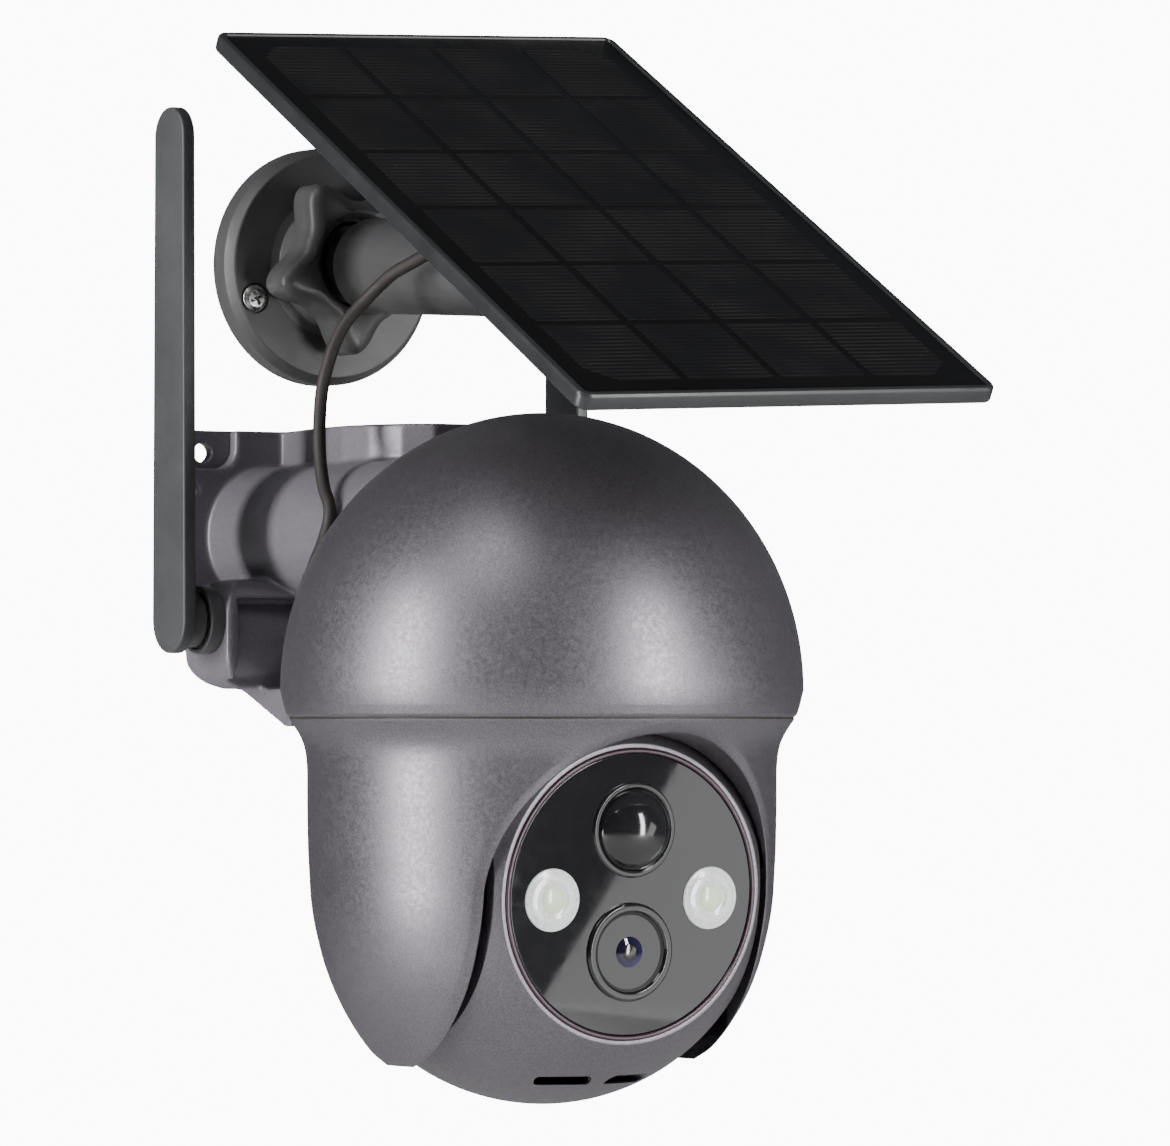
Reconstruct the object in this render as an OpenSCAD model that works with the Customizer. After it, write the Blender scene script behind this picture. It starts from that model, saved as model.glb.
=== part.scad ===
// Solar-powered pan and tilt security camera: a battery camera on a wall housing, with two
// antennas, and a solar panel on its own wall bracket, joined by a thin cable.
// The origin is the centre of the camera's back face, on the wall plane y = 0.
// +X is to the right seen from the front, -Y points away from the wall, +Z is up.

/* [Dome] */
// Distance of the dome's axis from the wall
dome_reach = 103; // [102:1:106]
// Radius of the dome at its widest
dome_r = 59.2; // [59:0.1:60]
// Height of the dome above its widest ring
dome_rise = 62.7; // [61:0.1:64]
// Thickness of the moulded shells
wall = 2.4; // [2:0.1:2.6]

/* [Yoke and ball] */
// Radius of the ball head
ball_r = 50.7; // [50:0.1:50.8]
// Distance of the ball's face from its centre
face_y = 38; // [37.5:0.1:38.5]
// Half width of the ball between its flat sides
ball_half_w = 34.8; // [34.5:0.1:34.9]
// Half width of the gap between the yoke's cheeks
cheek_gap = 37; // [36.8:0.1:37.4]
// Angle that the ball looks down at rest
rest_tilt = 4; // [0:1:8]

/* [Wall housing] */
// Half width of the back plate
plate_half_w = 39.5; // [39:0.5:41]
// Thickness of the back plate
plate_t = 3; // [2.5:0.5:3]
// Distance between the two wall screws
wall_screw_span = 65; // [64:1:66]
// Radius of a wall screw hole
wall_screw_hole_r = 2.3; // [2:0.1:2.4]

/* [Antennas] */
// Length of an antenna's blade
blade_l = 126.5; // [110:0.5:127]
// Width of the blade, seen from the side
blade_w = 15.6; // [14:0.1:15.8]
// Thickness of the blade
blade_t = 3.2; // [3:0.1:3.4]

/* [Solar bracket] */
// Height of the bracket's centre above the origin
bracket_z = 70; // [69:1:72]
// Radius of the bracket's wall plate
bracket_r = 28.25; // [28:0.25:29]
// Diameter of the circle of the bracket's two screws
bracket_pcd = 45.4; // [45:0.1:46]
// Radius of the star nut over its lobes
nut_r = 21.5; // [21:0.1:22]
// Radius of the arm
arm_r = 11.2; // [11:0.1:11.3]

/* [Solar panel] */
// Width of the panel
panel_w = 107; // [106:0.5:108]
// Length of the panel
panel_l = 179; // [178:1:180]
// Thickness of the panel
panel_t = 4; // [4:0.1:4.5]
// Angle that the panel slopes down towards the front at rest
panel_slope = 29.9; // [29:0.1:31]

/* [Hidden] */
$fn = 64;
eps = 0.01;

// Colours
shell_c = [0.33, 0.31, 0.35];
dark_c = [0.17, 0.17, 0.17];
black_c = [0.04, 0.04, 0.04];
steel_c = [0.72, 0.72, 0.72];
board_c = [0.05, 0.3, 0.15];

// Heights, all in the row frame
seam_z = -37;                  // joint between dome and yoke
seam_gap = 0.4;                // gap at that joint
ball_z = -73.7;                // axis that the ball tilts about
yoke_low = -78;                // tips of the cheeks, below the seam
dome_wide = 6.1;               // widest ring of the dome, above the seam
drum_top = 17.7;               // top of the yoke's drum, above the seam
chassis_z = 22;                // underside of the dome's chassis, above the seam
plate_low = -21.5;
plate_high = 30.5;
wall_screw_z = 25.25;
pad_x = 25.4;                  // corner pads of the back plate start here
pad_z = 21.5;
antenna_y = -27.2;
antenna_z = -14.5;
antenna_x = 53.3;
ball_joint_y = -13;            // ball joint of the solar arm
arm_slope = 3.5;
arm_roll = -2.2;                // twist of the arm about its own axis
arm_l = 101.1;                 // ball joint to the panel's hinge
hinge_drop = 14.7;            // panel's underside to the hinge of its bracket
hinge_py = 5.21;               // place of that hinge along the panel
run = 0.05;                    // radial running clearance

// Pan and tilt gears: teeth and module
pan_teeth = 60;
pan_pinion_teeth = 12;
pan_module = 1;
tilt_teeth = 30;
tilt_pinion_teeth = 12;
tilt_module = 0.8;
pan_motor_angle = 210;
tilt_motor_angle = 90;
pan_centres = pan_module * (pan_teeth + pan_pinion_teeth) / 2;
tilt_centres = tilt_module * (tilt_teeth + tilt_pinion_teeth) / 2;

// Route of the cable from the plug on the camera up to the panel's gland
cable_r = 1.5;
cable_low = [
    [-29, -46.6, -9.4], [-29.1, -46.8, -8.6], [-29.8, -48.2, -7.2], [-31.2, -51, -5.4],
    [-32.4, -54.6, -3.7], [-33.9, -59.3, -1], [-34.8, -63.3, 1.8], [-35.1, -66, 5],
    [-34.9, -67.3, 8.6], [-34.5, -66.3, 11.6], [-34, -63.4, 14.8], [-33.4, -61.1, 18.3],
    [-32.8, -59.2, 22.5], [-32.3, -58, 27], [-32, -57.5, 31]];
cable_mid = [
    [-32, -57.5, 31.3], [-31.8, -57.8, 35.5], [-31.4, -58.4, 40], [-30.4, -59, 44.5],
    [-28.8, -59.3, 49], [-26.4, -60.1, 53.6], [-23.2, -62.2, 58.1]];
cable_up = [
    [-23.04, -62.41, 58.34], [-20.2, -66.1, 62.6], [-18.8, -69.5, 64.9], [-17.2, -75.8, 67.2],
    [-16.6, -79.9, 68.6], [-16.3, -83.3, 70.4], [-16.3, -86.4, 72.6], [-16.4, -89, 75.2],
    [-16.5, -90.8, 78], [-16.59, -92.12, 80.32]];

module at_dome() { translate([0, -dome_reach, seam_z]) children(); }
module at_ball() { translate([0, -dome_reach, ball_z]) rotate([rest_tilt, 0, 0]) children(); }
module at_joint() { translate([0, ball_joint_y, bracket_z]) children(); }
module at_arm() { at_joint() rotate([arm_slope, 0, 0]) rotate([0, arm_roll, 0]) children(); }
module at_hinge() {
    at_arm() translate([0, -arm_l, 0]) rotate([panel_slope - arm_slope, 0, 0]) children();
}
module at_panel() { at_hinge() translate([0, -hinge_py, panel_t + hinge_drop]) children(); }
// A cylinder along X, from x0 to x1
module rod_x(r, x0, x1) { translate([x0, 0, 0]) rotate([0, 90, 0]) cylinder(r = r, h = x1 - x0); }
// A cylinder along Y, from y0 to y1
module rod_y(r, y0, y1) { translate([0, y1, 0]) rotate([90, 0, 0]) cylinder(r = r, h = y1 - y0); }
module both_sides() { children(); mirror([1, 0, 0]) children(); }
// A box between two corners
module span(a, b) { translate(a) cube(b - a); }
module round_rect(w, h, r) {
    square([w - 2 * r, h], center = true);
    square([w, h - 2 * r], center = true);
    for (x = [-1, 1], y = [-1, 1]) translate([x * (w / 2 - r), y * (h / 2 - r)]) circle(r = r);
}
// A rounded bar along X with its section between two corners in Y and Z
module bar_x(half, y0, y1, z0, z1, r) {
    translate([-half, (y0 + y1) / 2, (z0 + z1) / 2]) rotate([90, 0, 90])
        linear_extrude(2 * half) round_rect(y1 - y0, z1 - z0, r);
}
module tube(r_out, r_in, z0, z1) {
    translate([0, 0, z0]) difference() {
        cylinder(r = r_out, h = z1 - z0);
        translate([0, 0, -1]) cylinder(r = r_in, h = z1 - z0 + 2);
    }
}

// ---- gears ----
function gear_points(teeth, m) = [
    for (i = [0:teeth - 1], p = [[-0.34, -1.15], [-0.2, 0], [-0.1, 0.85], [0.1, 0.85],
                                 [0.2, 0], [0.34, -1.15]])
        let (r = m * (teeth / 2 + p[1]), a = 360 * (i + p[0]) / teeth) [r * cos(a), r * sin(a)]];
// A gear with a tooth centred on the X axis, or a gap there
module gear(teeth, m, t, gap = false) {
    linear_extrude(t) rotate(gap ? 180 / teeth : 0) polygon(gear_points(teeth, m));
}

// ---- cable ----
function unit(v) = v / norm(v);
function heading(p, i) = unit(p[min(i + 1, len(p) - 1)] - p[max(i - 1, 0)]);
// Two directions square to the cable, which don't twist because none of it runs along X
function side_a(d) = unit(cross(d, [1, 0, 0]));
function side_b(d) = cross(d, side_a(d));
module cord(p, r, sides = 8) {
    n = len(p);
    points = [for (i = [0:n - 1], k = [0:sides - 1])
        let (d = heading(p, i), a = 360 * k / sides)
        p[i] + r * (cos(a) * side_a(d) + sin(a) * side_b(d))];
    walls = [for (i = [0:n - 2], k = [0:sides - 1])
        let (a = i * sides + k, b = i * sides + (k + 1) % sides)
        each [[a, b, b + sides], [a, b + sides, a + sides]]];
    ends = [[for (k = [sides - 1:-1:0]) k], [for (k = [0:sides - 1]) (n - 1) * sides + k]];
    polyhedron(points, concat(walls, ends));
}

// ---- dome ----
function dome_arc(inset) = [
    for (i = [0:20]) let (a = 90 - 4.5 * i)
        [(dome_r - inset) * cos(a), dome_wide + (dome_rise - inset) * sin(a)]];
dome_foot_r = 57.7;
module dome_solid(grow = 0) {
    at_dome() rotate_extrude($fn = 128) polygon(concat(
        [[0, 0]], dome_arc(-grow), [[dome_foot_r + grow, 0]]));
}
dome_boss_angles = [30, 150, 270];
dome_boss_reach = 43;
module at_dome_bosses(z) {
    for (a = dome_boss_angles) rotate(a) translate([dome_boss_reach, 0, z]) children();
}
module dome_shell() {
    color(shell_c) difference() {
        union() {
            at_dome() rotate_extrude($fn = 128) polygon(concat(
                dome_arc(0), [[dome_foot_r, 0], [dome_foot_r - wall, 0]],
                [for (i = [20:-1:0]) dome_arc(wall)[i]]));
            intersection() {
                dome_solid(-wall / 2);
                at_dome() at_dome_bosses(chassis_z + 2.5) cylinder(r = 3.6, h = 30);
            }
        }
        at_dome() at_dome_bosses(chassis_z) cylinder(r = 1.2, h = 12);
        // way in for the wires from the housing
        span([-17, -80, -18], [17, -40, 17]);
    }
}
module dome_base() {
    color(dark_c) at_dome() difference() {
        union() {
            rotate_extrude($fn = 96) polygon([
                [47, 0.4], [55, 0.4], [55, 2.4], [49, 2.4], [49, chassis_z], [53.2, chassis_z],
                [53.2, chassis_z + 2.5], [13 + run, chassis_z + 2.5], [13 + run, chassis_z],
                [47, chassis_z]]);
            for (a = [0, 90, 150]) rotate(a) translate([30, 0, chassis_z + 2])
                cylinder(r = 2.5, h = 16);
        }
        at_dome_bosses(chassis_z - 1) cylinder(r = 1.4, h = 5);
        rotate(pan_motor_angle) translate([pan_centres, 0, chassis_z - 1]) cylinder(r = 3, h = 5);
    }
}
module dome_screws() {
    color(steel_c) at_dome() at_dome_bosses(0) {
        translate([0, 0, chassis_z - 1.4]) cylinder(r = 2.4, h = 1.4);
        translate([0, 0, chassis_z - 0.5]) cylinder(r = 1.2, h = 11);
    }
}
module main_board() {
    color(board_c) at_dome() {
        translate([0, 0, chassis_z + 18]) cylinder(r = 38, h = 1.6);
        span([-8, -10, chassis_z + 19.5], [8, 6, chassis_z + 22]);
        span([12, -4, chassis_z + 19.5], [20, 14, chassis_z + 21.2]);
        span([-26, -6, chassis_z + 19.5], [-14, 8, chassis_z + 23]);
    }
}
module pan_motor() {
    color(steel_c) at_dome() rotate(pan_motor_angle) translate([pan_centres, 0, chassis_z + 2.5])
        difference() {
            cylinder(r = 10, h = 13);
            translate([0, 0, -1]) cylinder(r = 1.5 + run, h = 5);
        }
}
module pan_bearing() {
    color([0.85, 0.83, 0.76]) at_dome() {
        tube(13, 11 + run, chassis_z - 0.6, chassis_z + 3);
        tube(16, 11 + run, chassis_z + 2.5, chassis_z + 4);
    }
}

// ---- wall housing ----
barrel_r = 16.5;
barrel_half_w = 33;
barrel_z = 5.5;
cell_r = 9.1;
cell_half_l = 25;
cells = [[-20, barrel_z], [-22.4, -18.9]];   // Y and Z of the two battery cells
neck_half_w = 21.5;
neck_low_z = -31;
// Half of the raised top behind the dome: half widths at distances from the wall
crown_edge = [[13, -plate_t], [13, -9], [14.5, -16], [17, -26], [19, -36], [19.6, -46],
              [18, -56], [14, -64], [8, -69]];
module stadium(half_w, r) {
    square([2 * (half_w - r), 2 * r], center = true);
    for (x = [r - half_w, half_w - r]) translate([x, 0]) circle(r = r);
}
module crown(inset) {
    n = len(crown_edge) - 1;
    edge = [for (p = crown_edge) [p[0] - inset, max(p[1], inset - 69)]];
    translate([0, 0, 20 - inset]) linear_extrude(plate_high - 20) polygon(concat(
        edge, [for (i = [n:-1:0]) [-edge[i][0], edge[i][1]]]));
}
module housing_form(inset = 0) {
    // flattened tube from the wall into the dome
    translate([0, inset - plate_t, barrel_z]) rotate([90, 0, 0])
        linear_extrude(93) stadium(barrel_half_w - inset, barrel_r - inset);
    crown(inset);
    span([inset - neck_half_w, -96, neck_low_z + inset],
         [neck_half_w - inset, inset - plate_t, barrel_z]);
    // box under it that carries the antennas and the lower cell
    intersection() {
        bar_x(44 - inset, -36 + inset, -15 - inset, -30.5 + inset, -5 - inset, 8 - inset);
        translate([0, 0, -17.75]) rotate([90, 0, 0])
            linear_extrude(50) round_rect(88 - 2 * inset, 25.5 - 2 * inset, 8 - inset);
    }
    bar_x(36 - inset, -36 + inset, -10.7 - inset, -30.5 + inset, -5 - inset, 8 - inset);
}
// Pockets in the lower front, which leave the lower cell's round cover standing in them
module front_pockets(grow = 0) {
    both_sides() difference() {
        span([neck_half_w - grow, -37, -31.5], [41 + grow, -30 + grow, -9.5 + grow]);
        translate([0, cells[1][0], cells[1][1]]) rod_x(11.6 - grow, -45, 45);
    }
}
// Gusset under the dome's rim
module chin() {
    rotate([90, 0, 90]) translate([0, 0, -32]) linear_extrude(64)
        polygon([[-20, -29], [-20, -30.5], [-41, -39.2], [-46.4, -39.2], [-46.4, -30.4],
                 [-33, -30.4], [-28, -29]]);
}
module housing_shell() {
    color(shell_c) difference() {
        union() {
            // upper plate with its corners cut back for the screw pads
            difference() {
                span([-plate_half_w, -6.5, plate_low], [plate_half_w, -plate_t, plate_high]);
                both_sides() translate([pad_x + 20, 0, pad_z + 20]) rotate([90, 0, 0])
                    linear_extrude(10) round_rect(40, 40, 5);
            }
            difference() {
                housing_form();
                front_pockets();
            }
            chin();
            // ledge that the cable's socket stands in, hidden behind the dome
            span([-33.5, socket_y - 5.4, seam_z], [-neck_half_w, socket_y + 4.2, socket_top]);
        }
        difference() {
            housing_form(wall);
            front_pockets(wall);
        }
        dome_solid();
        translate([0, -dome_reach, -60]) cylinder(r = 58.4, h = 60 + seam_z + eps, $fn = 128);
        both_sides() translate([0, antenna_y, antenna_z]) rod_x(4.5, 41, 50);
        translate([button_x, button_y, -40]) cylinder(r = button_r + run, h = 14);
        translate([socket_x, socket_y, -40]) cylinder(r = 3.4, h = 20);
        at_housing_screws() rod_y(1.1, -7, 0);
    }
}
button_x = 34;
button_y = -24;
button_r = 2.6;
socket_x = -29;
socket_y = -46.6;
socket_top = -25;
module at_housing_screws() {
    for (x = [-36.6, 36.6], z = [-16, 16]) translate([x, 0, z]) children();
}
module back_plate() {
    color(shell_c) difference() {
        translate([0, 0, (plate_low + plate_high) / 2]) rotate([90, 0, 0])
            linear_extrude(plate_t)
                round_rect(2 * plate_half_w, plate_high - plate_low, 4);
        both_sides() translate([wall_screw_span / 2, 0, wall_screw_z])
            rod_y(wall_screw_hole_r, -10, 10);
        // two keyholes that hang on screws set in the wall
        both_sides() translate([20, 0, -10]) {
            rod_y(4.2, -10, 10);
            span([-2.2, -10, 0], [2.2, 10, 9]);
        }
        at_housing_screws() {
            rod_y(1.2, -10, 10);
            rod_y(2.4, -1.8, 10);
        }
    }
}
module housing_gasket() {
    color(black_c) translate([0, -plate_t, barrel_z]) rotate([90, 0, 0]) linear_extrude(1)
        difference() {
            stadium(30.4, 13.9);
            stadium(29, 12.5);
        }
}
module housing_screws() {
    color(steel_c) at_housing_screws() {
        rod_y(2.3, -1.8, -0.2);
        rod_y(1.1, -6.2, -1.7);
    }
}
module battery_cells() {
    color([0.2, 0.45, 0.7]) for (p = cells) translate([0, p[0], p[1]]) {
        rod_x(cell_r, -cell_half_l, cell_half_l - 1);
        rod_x(3, cell_half_l - 1 - eps, cell_half_l);
    }
}
module battery_holder() {
    color(dark_c) for (x = [-cell_half_l - 1.5, cell_half_l], p = cells)
        span([x, p[0] - 6, p[1] - 7], [x + 1.5, p[0] + 6, p[1] + 7]);
}
module charge_board() {
    color(board_c) span([-16, -46, -16], [16, -44.4, 16]);
    color(black_c) span([-8, -44.4 - eps, -6], [2, -42, 4]);
}
module charge_socket() {
    color(black_c) translate([socket_x, socket_y, 0]) difference() {
        union() {
            translate([0, 0, socket_top - 8]) cylinder(r = 3.4, h = 8);
            translate([0, 0, socket_top]) cylinder(r = 4, h = 0.8);
        }
        translate([0, 0, socket_top - 6]) cylinder(r = 2.4, h = 12);
    }
}
module power_button() {
    color(black_c) translate([button_x, button_y, 0]) {
        translate([0, 0, -31.3]) cylinder(r = button_r, h = 5);
        translate([0, 0, -27.5]) cylinder(r = 3, h = 1.2);
    }
}

// ---- antennas ----
module antenna_socket() {
    color(dark_c) translate([0, antenna_y, antenna_z]) difference() {
        union() {
            rod_x(7.9, 44, 47.6);
            rod_x(4.5, 42, 44 + eps);
        }
        rod_x(3 + run, 40, 50);
    }
}
module antenna_left_socket() { mirror([1, 0, 0]) antenna_socket(); }
module antenna_right_socket() { antenna_socket(); }
module antenna_blade() {
    r = blade_w / 2;
    top = antenna_z - r + blade_l - r;
    color(dark_c) translate([antenna_x - blade_t / 2, antenna_y, 0]) rotate([90, 0, 90])
        linear_extrude(blade_t) {
            translate([0, antenna_z]) circle(r = r);
            translate([0, top + 0.8]) circle(r = r - 0.8);
            polygon([[-r, antenna_z], [r, antenna_z], [r - 0.8, top + 0.8], [0.8 - r, top + 0.8]]);
        }
}
module antenna_pin() {
    color(dark_c) translate([0, antenna_y, antenna_z]) {
        rod_x(6.4, 47.9, antenna_x - blade_t / 2);
        rod_x(3, 42.4, 48);
    }
}
module antenna_left_blade() { mirror([1, 0, 0]) antenna_blade(); }
module antenna_right_blade() { antenna_blade(); }
module antenna_left_pin() { mirror([1, 0, 0]) antenna_pin(); }
module antenna_right_pin() { antenna_pin(); }

// ---- yoke ----
yoke_profile = [
    [57.5, -seam_gap], [56, -2], [54.8, -4], [53.3, -7.5], [53.1, -20], [52.3, -41], [50.6, -50],
    [48.5, -58], [45.4, -65], [41.5, -72], [37, yoke_low]];
arch_z = -40.5;
module yoke_solid(inset = 0) {
    top = -seam_gap - inset;
    at_dome() rotate_extrude($fn = 128) polygon(concat(
        [[0, yoke_low + 2 * inset], [37 - inset, yoke_low + 2 * inset]],
        [for (i = [len(yoke_profile) - 2:-1:0]) let (p = yoke_profile[i])
            if (p[1] < top) [p[0] - inset, p[1]]],
        inset > 0 ? [[54.8 - inset, top]] : [[57.5, top]],
        [[0, top]]));
}
// Arched opening through the yoke, front to back
module arch() {
    at_dome() translate([0, 0, arch_z]) {
        rod_y(cheek_gap, -70, 70);
        span([-cheek_gap, -70, -60], [cheek_gap, 70, 0]);
    }
}
lining_y = 39.3;
module yoke_shell() {
    color(shell_c) difference() {
        yoke_solid();
        difference() {
            yoke_solid(wall);
            // lining round the arch, short of the ball
            at_dome() translate([0, 0, arch_z]) {
                rod_y(cheek_gap + wall, -70, -lining_y);
                rod_y(cheek_gap + wall, lining_y, 70);
            }
        }
        arch();
        at_dome() translate([0, 0, -20]) cylinder(r = 43.5, h = 30);
    }
}
module yoke_carrier() {
    color(dark_c) at_dome() difference() {
        rotate_extrude($fn = 96) polygon([
            [43.5, -seam_gap], [46, -seam_gap], [46, drum_top], [11, drum_top], [11, 31], [8, 31],
            [8, drum_top - 2.5], [43.5, drum_top - 2.5]]);
    }
}
module pan_gear() {
    color([0.9, 0.88, 0.8]) at_dome() difference() {
        translate([0, 0, drum_top]) rotate(pan_motor_angle) gear(pan_teeth, pan_module, 3);
        translate([0, 0, drum_top - 1]) cylinder(r = 11, h = 6);
    }
}
module pan_retainer() { color(steel_c) at_dome() tube(15, 11, chassis_z + 4.3, chassis_z + 7); }
// Half widths of a cover at heights below the seam
cover_edge = [[32, -26.6], [31.2, -41], [28.4, -50], [24.7, -58], [18.3, -65], [7.5, -71]];
module cheek_cover() {
    n = len(cover_edge) - 1;
    color(shell_c) difference() {
        at_dome() rotate([90, 0, 90]) translate([0, 0, cheek_gap]) linear_extrude(1.8)
            polygon(concat(cover_edge,
                [for (i = [n:-1:0]) [-cover_edge[i][0], cover_edge[i][1]]]));
        at_ball() rod_x(4, -60, 60);
    }
}
module cheek_cover_left() { mirror([1, 0, 0]) cheek_cover(); }
module cheek_cover_right() { cheek_cover(); }
module at_tilt_motor() {
    at_ball() rotate([tilt_motor_angle, 0, 0]) translate([0, tilt_centres, 0]) children();
}
module tilt_motor() {
    color(steel_c) at_tilt_motor() difference() {
        rod_x(7.5, 42.6, 47.6);
        rod_x(1 + run, 42, 45);
    }
}
module tilt_bushes() {
    color([0.85, 0.83, 0.76]) at_ball() both_sides() difference() {
        union() {
            rod_x(4, cheek_gap - 0.3, cheek_gap + 1.8);
            rod_x(5.5, cheek_gap + 1.8, cheek_gap + 2.8);
        }
        rod_x(2.5 + run, 30, 50);
    }
}
module pan_pinion() {
    color([0.9, 0.88, 0.8]) at_dome() rotate(pan_motor_angle) translate([pan_centres, 0, 0]) {
        translate([0, 0, drum_top + 0.3]) rotate(180)
            gear(pan_pinion_teeth, pan_module, 2.6, true);
        translate([0, 0, drum_top + 0.3]) cylinder(r = 1.5, h = 8.5);
    }
}
module tilt_pinion() {
    color([0.9, 0.88, 0.8]) at_tilt_motor() {
        translate([40.2, 0, 0]) rotate([0, 90, 0])
            gear(tilt_pinion_teeth, tilt_module, 2, true);
        rod_x(1, 40.2, 44.8);
    }
}

// ---- ball head ----
window_r = 31.4;
pir_z = 14.4;
lens_z = -12.8;
led_x = 20.6;
led_z = -1;
module ball_solid(inset = 0) {
    intersection() {
        sphere(r = ball_r - inset, $fn = 128);
        span([inset - ball_half_w, inset - face_y, -60], [ball_half_w - inset, 60, 60]);
    }
}
module face_holes(pir, lens, led) {
    translate([0, 0, pir_z]) rod_y(pir, -50, -30);
    translate([0, 0, lens_z]) rod_y(lens, -50, -30);
    both_sides() translate([led_x, 0, led_z]) rod_y(led, -50, -30);
}
module ball_front() {
    color(shell_c) at_ball() difference() {
        union() {
            difference() {
                ball_solid();
                ball_solid(wall);
            }
            // bosses for the screws that hold the rear half
            for (z = [-36, 36], x = [-24, 24]) intersection() {
                ball_solid(wall / 2);
                translate([x, 0, z]) rod_y(3.4, -24, 0);
            }
        }
        span([-60, 0, -60], [60, 60, 60]);
        rod_x(2.5, -60, 60);
        rod_y(window_r + 1.1, -60, -face_y + 1.2);
        face_holes(9, 10.2, 6.4);
        for (z = [-36, 36], x = [-24, 24]) translate([x, 0, z]) rod_y(1.2, -12, 5);
        // sound slots low on the front
        both_sides() rotate([-rest_tilt, 0, 0]) rotate([0, 0, 21]) translate([0, 0, -44.3])
            span([-6.5, -32, -1], [6.5, -10, 1]);
    }
}
module ball_rear() {
    color(shell_c) at_ball() difference() {
        union() {
            difference() {
                ball_solid();
                ball_solid(wall);
            }
            for (z = [-36, 36], x = [-24, 24]) intersection() {
                ball_solid(wall / 2);
                translate([x, 0, z]) rod_y(3.4, 0, 24);
            }
        }
        span([-60, -60, -60], [60, 0, 60]);
        rod_x(2.5, -60, 60);
        for (z = [-36, 36], x = [-24, 24]) translate([x, 0, z]) {
            rod_y(1.4, -5, 60);
            rod_y(2.6, 8, 60);
        }
    }
}
module ball_screws() {
    color(steel_c) at_ball() for (z = [-36, 36], x = [-24, 24]) translate([x, 0, z]) {
        rod_y(1.2, -11, 8.5);
        rod_y(2.5, 8, 10);
    }
}
module face_window() {
    color(black_c) at_ball() difference() {
        rod_y(window_r, -face_y, -face_y + 1.2);
        face_holes(9.6, 10.2, 6.4);
    }
}
module face_bezel() {
    color([0.25, 0.18, 0.22]) at_ball() difference() {
        rod_y(window_r + 1.1, -face_y - 0.4, -face_y + 1.2);
        rod_y(window_r, -face_y - 1, -face_y + 2);
    }
}
module lens_barrel() {
    color(black_c) at_ball() translate([0, 0, lens_z]) difference() {
        union() {
            rod_y(11, -face_y - 1, -face_y);
            rod_y(10.2, -face_y - eps, -face_y + 6);
            rod_y(8, -face_y + 6 - eps, -face_y + 14);
        }
        rod_y(9, -face_y - 2, -face_y + 1.5);
        rod_y(6, -face_y - 2, -face_y + 12);
    }
}
module lens_glass() {
    color([0.1, 0.1, 0.25]) at_ball() translate([0, 0, lens_z]) {
        rod_y(9, -face_y, -face_y + 1.5);
        intersection() {
            translate([0, -face_y + 9, 0]) sphere(r = 8, $fn = 48);
            rod_y(6, -face_y + 1.5 - eps, -face_y + 7);
        }
    }
}
module pir_lens() {
    color([0.06, 0.06, 0.07]) at_ball() translate([0, 0, pir_z]) difference() {
        union() {
            // cap of a larger sphere, which stands 5 mm out of the face
            intersection() {
                translate([0, -face_y + 9, 0]) sphere(r = 14, $fn = 64);
                rod_y(10.7, -face_y - 6, -face_y);
            }
            rod_y(9, -face_y - eps, -face_y + 3);
        }
        intersection() {
            translate([0, -face_y + 9, 0]) sphere(r = 12.6, $fn = 64);
            rod_y(7.8, -face_y - 6, -face_y + 4);
        }
    }
}
module led_lenses() {
    color([0.9, 0.92, 0.9]) at_ball() both_sides() translate([led_x, 0, led_z]) {
        rod_y(7, -face_y - 0.6, -face_y);
        rod_y(6.4, -face_y - eps, -face_y + 3);
    }
}
module sensor_board() {
    color(board_c) at_ball() {
        difference() {
            rod_y(30, -face_y + 14, -face_y + 15.6);
            translate([0, 0, pir_z]) rod_y(3, -face_y + 13, -face_y + 17);
        }
        translate([0, 0, pir_z]) rod_y(4, -face_y + 9, -face_y + 14 + eps);
        both_sides() translate([led_x, 0, led_z]) rod_y(4, -face_y + 10, -face_y + 14 + eps);
    }
}
module speaker() {
    color(dark_c) at_ball() translate([0, -10, -30]) {
        difference() {
            cylinder(r = 10, h = 4);
            translate([0, 0, -1]) cylinder(r = 8, h = 3);
        }
        translate([0, 0, 4 - eps]) cylinder(r = 6, h = 4);
        span([-2, 8, 0], [2, 14, 4]);
    }
}
module tilt_axles() {
    color(steel_c) at_ball() {
        rod_x(2.5, 28, 42.2);
        rod_x(2.5, -42.2, -28);
        rod_x(5, 30, ball_half_w - wall);
        rod_x(5, wall - ball_half_w, -30);
    }
}
module tilt_gear() {
    color([0.9, 0.88, 0.8]) at_ball() difference() {
        translate([40.2, 0, 0]) rotate([0, 90, 0]) gear(tilt_teeth, tilt_module, 2);
        rod_x(2.5, 39, 44);
    }
}

// ---- solar bracket ----
screw_angles = [201, 21];
module at_bracket_screws() {
    at_joint() for (a = screw_angles)
        translate([bracket_pcd / 2 * cos(a), -ball_joint_y, bracket_pcd / 2 * sin(a)]) children();
}
seat_r = 10;
joint_ball_r = 8.2;
collar_r = 14.5;
arc_step = 7.5;
// Points on a circle in the upper half plane, from angle a to angle b measured from the axis
// of the revolved part; "round" puts the chords on the circle instead of the corners
function arc(r, a, b, round = false) =
    let (k = round ? r / cos(arc_step / 2) : r, n = ceil(abs(b - a) / arc_step))
    [for (i = [0:n]) let (t = a + (b - a) * i / n) [k * sin(t), k * cos(t)]];
module along_arm_rest() { at_joint() rotate([90, 0, 0]) children(); }
module bracket_plate() {
    rear = -ball_joint_y;
    color(dark_c) difference() {
        along_arm_rest() rotate_extrude($fn = 96) polygon(concat(
            [[0, -rear], [bracket_r, -rear], [bracket_r, 5.5 - rear],
             [bracket_r - 1.8, 8 - rear], [collar_r, 8 - rear], [collar_r, 4.5]],
            arc(seat_r + run, acos(4.5 / (seat_r + run)), 180, true)));
        at_bracket_screws() rod_y(2.1, -20, 5);
        at_bracket_screws() rod_y(3.4, -20, -7.4);
    }
}
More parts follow.
